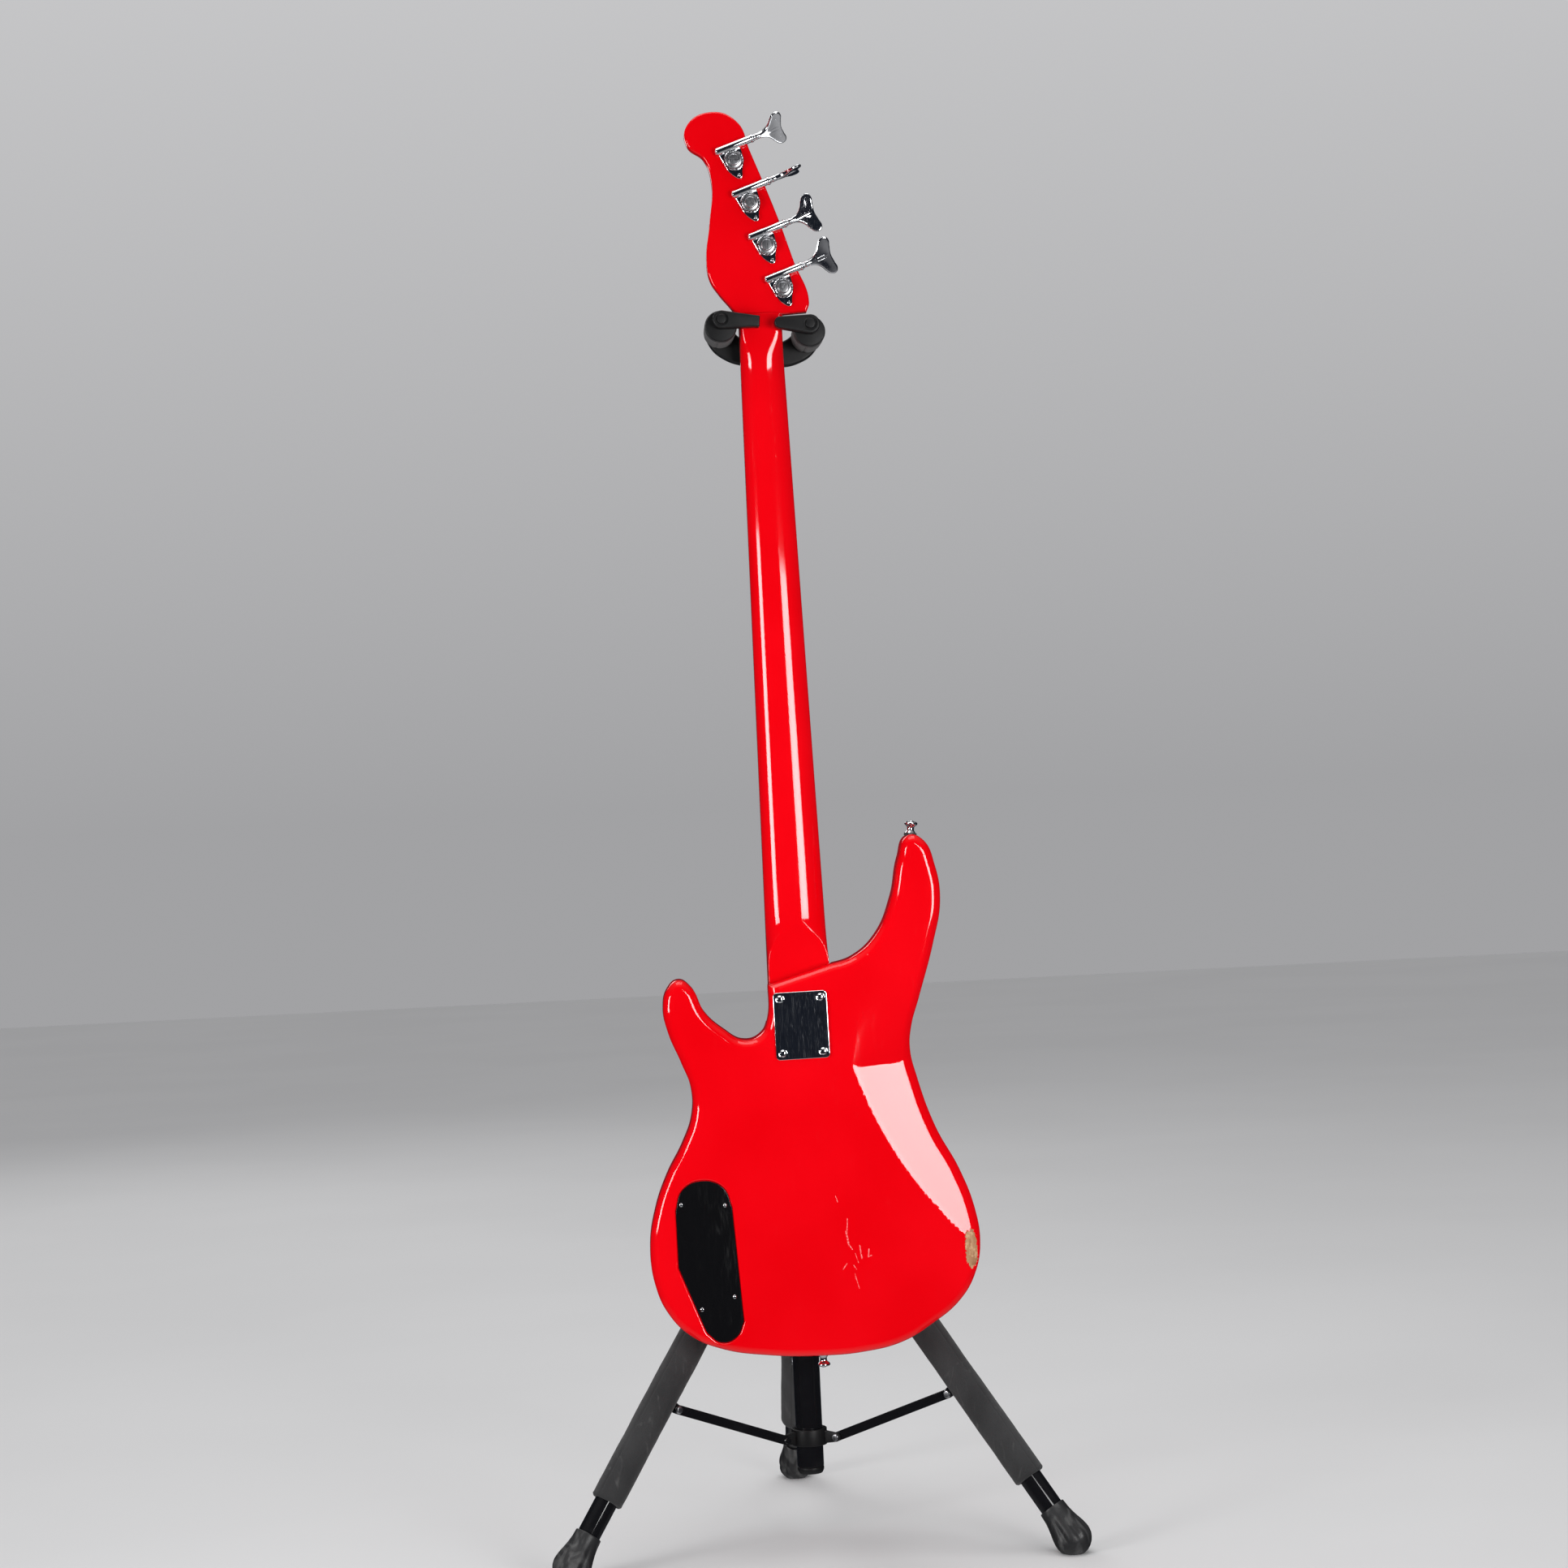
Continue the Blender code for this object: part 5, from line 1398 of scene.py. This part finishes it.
def make_yoke():
    plate = slab("yoke_plate", YOKE_OUTLINE, -70, -58, 2.2, 10, 5)
    yoke = piece("yoke_cradle", plate, YOKE, "plastic", "yoke", "yoke_frame")
    bore = tool(peg("yoke_bore", (0, 0), -80, -50, 5.3), YOKE, "plastic")
    combine(yoke, [bore], "DIFFERENCE")
    joined = []
    for side, sign in (("left", -1), ("right", 1)):
        x = sign * ARM_X
        end = place((x, ARM_END, ARM_Z), (90, 0, 0), YOKE)
        flange = lathe("flange", [(0, 0), (14.5, 0), (14.5, 3), (0, 3)], 64, 0.8)
        joined += [
            tool(peg("arm", (x, ARM_Z), -62, ARM_END, 6), YOKE, "plastic"),
            tool(flange, end, "plastic"),
            tool(peg("pin", (x, FINGER_Z), ARM_END - 1, -124.4, 3), YOKE, "plastic"),
            tool(peg("pin_head", (x, FINGER_Z), -123.2, -124.8, 5, 4.2, edge=0.5), YOKE, "plastic"),
        ]
        arm_foam = sleeve("arm_sleeve", 15.4, 6.1, 0.3, 37.4, math.radians(100), sign * 3.0, 72, 2.0)
        made = piece(f"arm_sleeve_{side}", arm_foam, place((x, ARM_END, ARM_Z), (-90, 0, 0), YOKE),
                     "foam", "yoke", f"arm_foam_{side}")
        make_finger(side, sign, x)
    combine(yoke, joined, "UNION")


def finger_outline(sign):
    """The right finger tapers to a round end, and the left one is a straighter bar."""
    if sign > 0:
        return capsule((0, 0), (-28.5, 0), 9, 5.6, 10)
    points = capsule((0, 0), (32.6, 0), 8.4, 3.4, 10)
    corners = ((30, 5.6), (35.2, 5.4), (36, 4.6))
    low = [(x, -z, 1) for x, z in corners]
    high = [(x, z, 1) for x, z in reversed(corners)]
    return points[:len(points) // 2] + low + high


def make_finger(side, sign, x):
    within = place((x, 0, FINGER_Z), within=YOKE)
    bar = slab("finger", finger_outline(sign), -122.9, -111.3, 1.4, 6, 5)
    finger = piece(f"locking_finger_{side}", bar, within, "plastic", f"finger_{side}",
                   f"finger_{side}")
    hole = tool(peg("finger_hole", (0, 0), -150, -90, 3.3), within, "plastic")
    well = tool(peg("finger_well", (0, 0), -126, -122.1, 6.4), within, "plastic")
    combine(finger, [hole, well], "DIFFERENCE")


# --------------------------------------------------------------------------- camera, light, floor

CAMERA_AT = Vector((-0.1823, -3.1884, 0.7181))
CAMERA_YAW, CAMERA_PITCH, CAMERA_ROLL = -3.4256, 0.3198, 2.6401
LENS = 73.21
# What the world shows on rough surfaces, in level and in steep reflections, and to the camera
FILL = (0.46, 0.46, 0.47)
REFLECTED = (0.010, 0.012, 0.018)
REFLECTED_STEEP = (0.42, 0.42, 0.43)
BACKDROP = (0.56, 0.56, 0.57)
HORIZON = (0.36, 0.36, 0.37)


def make_camera():
    yaw, pitch, roll = (math.radians(a) for a in (CAMERA_YAW, CAMERA_PITCH, CAMERA_ROLL))
    forward = Vector((-math.sin(yaw) * math.cos(pitch), math.cos(yaw) * math.cos(pitch),
                      math.sin(pitch)))
    right = Vector((math.cos(yaw), math.sin(yaw), 0))
    up = right.cross(forward)
    x = right * math.cos(roll) - up * math.sin(roll)
    y = right * math.sin(roll) + up * math.cos(roll)
    data = bpy.data.cameras.new("camera")
    data.lens = LENS
    camera = bpy.data.objects.new("camera", data)
    camera.matrix_world = Matrix.Translation(CAMERA_AT) @ Matrix((x, y, -forward)).transposed().to_4x4()
    bpy.context.scene.collection.objects.link(camera)
    bpy.context.scene.camera = camera


def softbox(name, at, target, width, height, radiance, spread=180):
    data = bpy.data.lights.new(name, "AREA")
    data.shape = "RECTANGLE"
    data.size, data.size_y = width, height
    data.energy = radiance * math.pi * width * height
    data.spread = math.radians(spread)
    light = bpy.data.objects.new(name, data)
    light.location = at
    light.rotation_euler = (Vector(target) - Vector(at)).to_track_quat("-Z", "Y").to_euler()
    bpy.context.scene.collection.objects.link(light)


def make_world():
    """A pale backdrop for the camera, soft fill on rough surfaces, and dark in reflections."""
    world = bpy.data.worlds.new("studio")
    world.use_nodes = True
    tree = world.node_tree
    nodes, links = tree.nodes, tree.links
    path = nodes.new("ShaderNodeLightPath").outputs
    split = nodes.new("ShaderNodeSeparateXYZ")
    links.new(nodes.new("ShaderNodeTexCoord").outputs["Generated"], split.inputs[0])
    rise = nodes.new("ShaderNodeMapRange")
    rise.inputs["From Max"].default_value = 0.25
    links.new(split.outputs["Z"], rise.inputs["Value"])
    backdrop = mix_colours(tree, rise.outputs[0], HORIZON, BACKDROP)
    steep = nodes.new("ShaderNodeMath")
    steep.operation = "ABSOLUTE"
    links.new(split.outputs["Z"], steep.inputs[0])
    tall = nodes.new("ShaderNodeMapRange")
    tall.inputs["From Min"].default_value = 0.45
    links.new(steep.outputs[0], tall.inputs["Value"])
    reflected = mix_colours(tree, tall.outputs[0], REFLECTED, REFLECTED_STEEP)
    unseen = mix_colours(tree, path["Is Glossy Ray"], FILL, reflected)
    seen = mix_colours(tree, path["Is Camera Ray"], unseen, backdrop)
    links.new(seen, nodes["Background"].inputs["Color"])
    bpy.context.scene.world = world


def make_studio():
    softbox("softbox_right", (1.14, -2.62, 0.72), (0, -0.2, 0.72), 0.92, 0.95, 3, 80)
    softbox("softbox_left", (-1.95, -1.72, 0.78), (0, -0.2, 0.78), 0.72, 0.85, 3, 80)
    softbox("overhead", (0.0, -0.4, 3.2), (0, -0.2, 0.0), 2.4, 2.0, 2.2)
    softbox("back_fill", (-1.4, 3.2, 2.4), (0, 0, 0.6), 1.6, 1.6, 2.5)
    make_world()
    shape = bmesh.new()
    bmesh.ops.create_grid(shape, x_segments=1, y_segments=1, size=9.0)
    floor = bpy.data.objects.new("floor", mesh_of("floor", shape))
    look = Look("pale_floor", (0.74, 0.74, 0.74), 0.8, Specular_IOR_Level=0.2)
    look.paint(look.ramp(look.noise(1.5), 0.4, 0.6), (0.725, 0.725, 0.725))
    floor.data.materials.append(look.material)
    bpy.context.scene.collection.objects.link(floor)
    floor.visible_glossy = False
    bpy.context.scene.view_settings.view_transform = "Standard"


def dress_hidden():
    """Gives the CAD's truss rod, which stays in view, its material."""
    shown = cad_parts["truss_rod"]
    shown.data.materials.clear()
    shown.data.materials.append(LOOKS["steel"])


make_camera()
make_studio()
make_body()
make_neck()
make_board()
make_nut()
make_plate()
make_cover()
make_strap_buttons()
make_knobs()
make_jack()
make_pickups()
make_bridge()
for index in range(4):
    make_tuner(index)
make_strings()
make_guide()
make_column()
make_collar()
make_hub()
make_clutch()
make_carrier()
make_yoke()
for side_name, side_azimuth in LEG_AZIMUTHS.items():
    make_leg(side_name, side_azimuth)
    make_strut(side_name, side_azimuth)
dress_hidden()
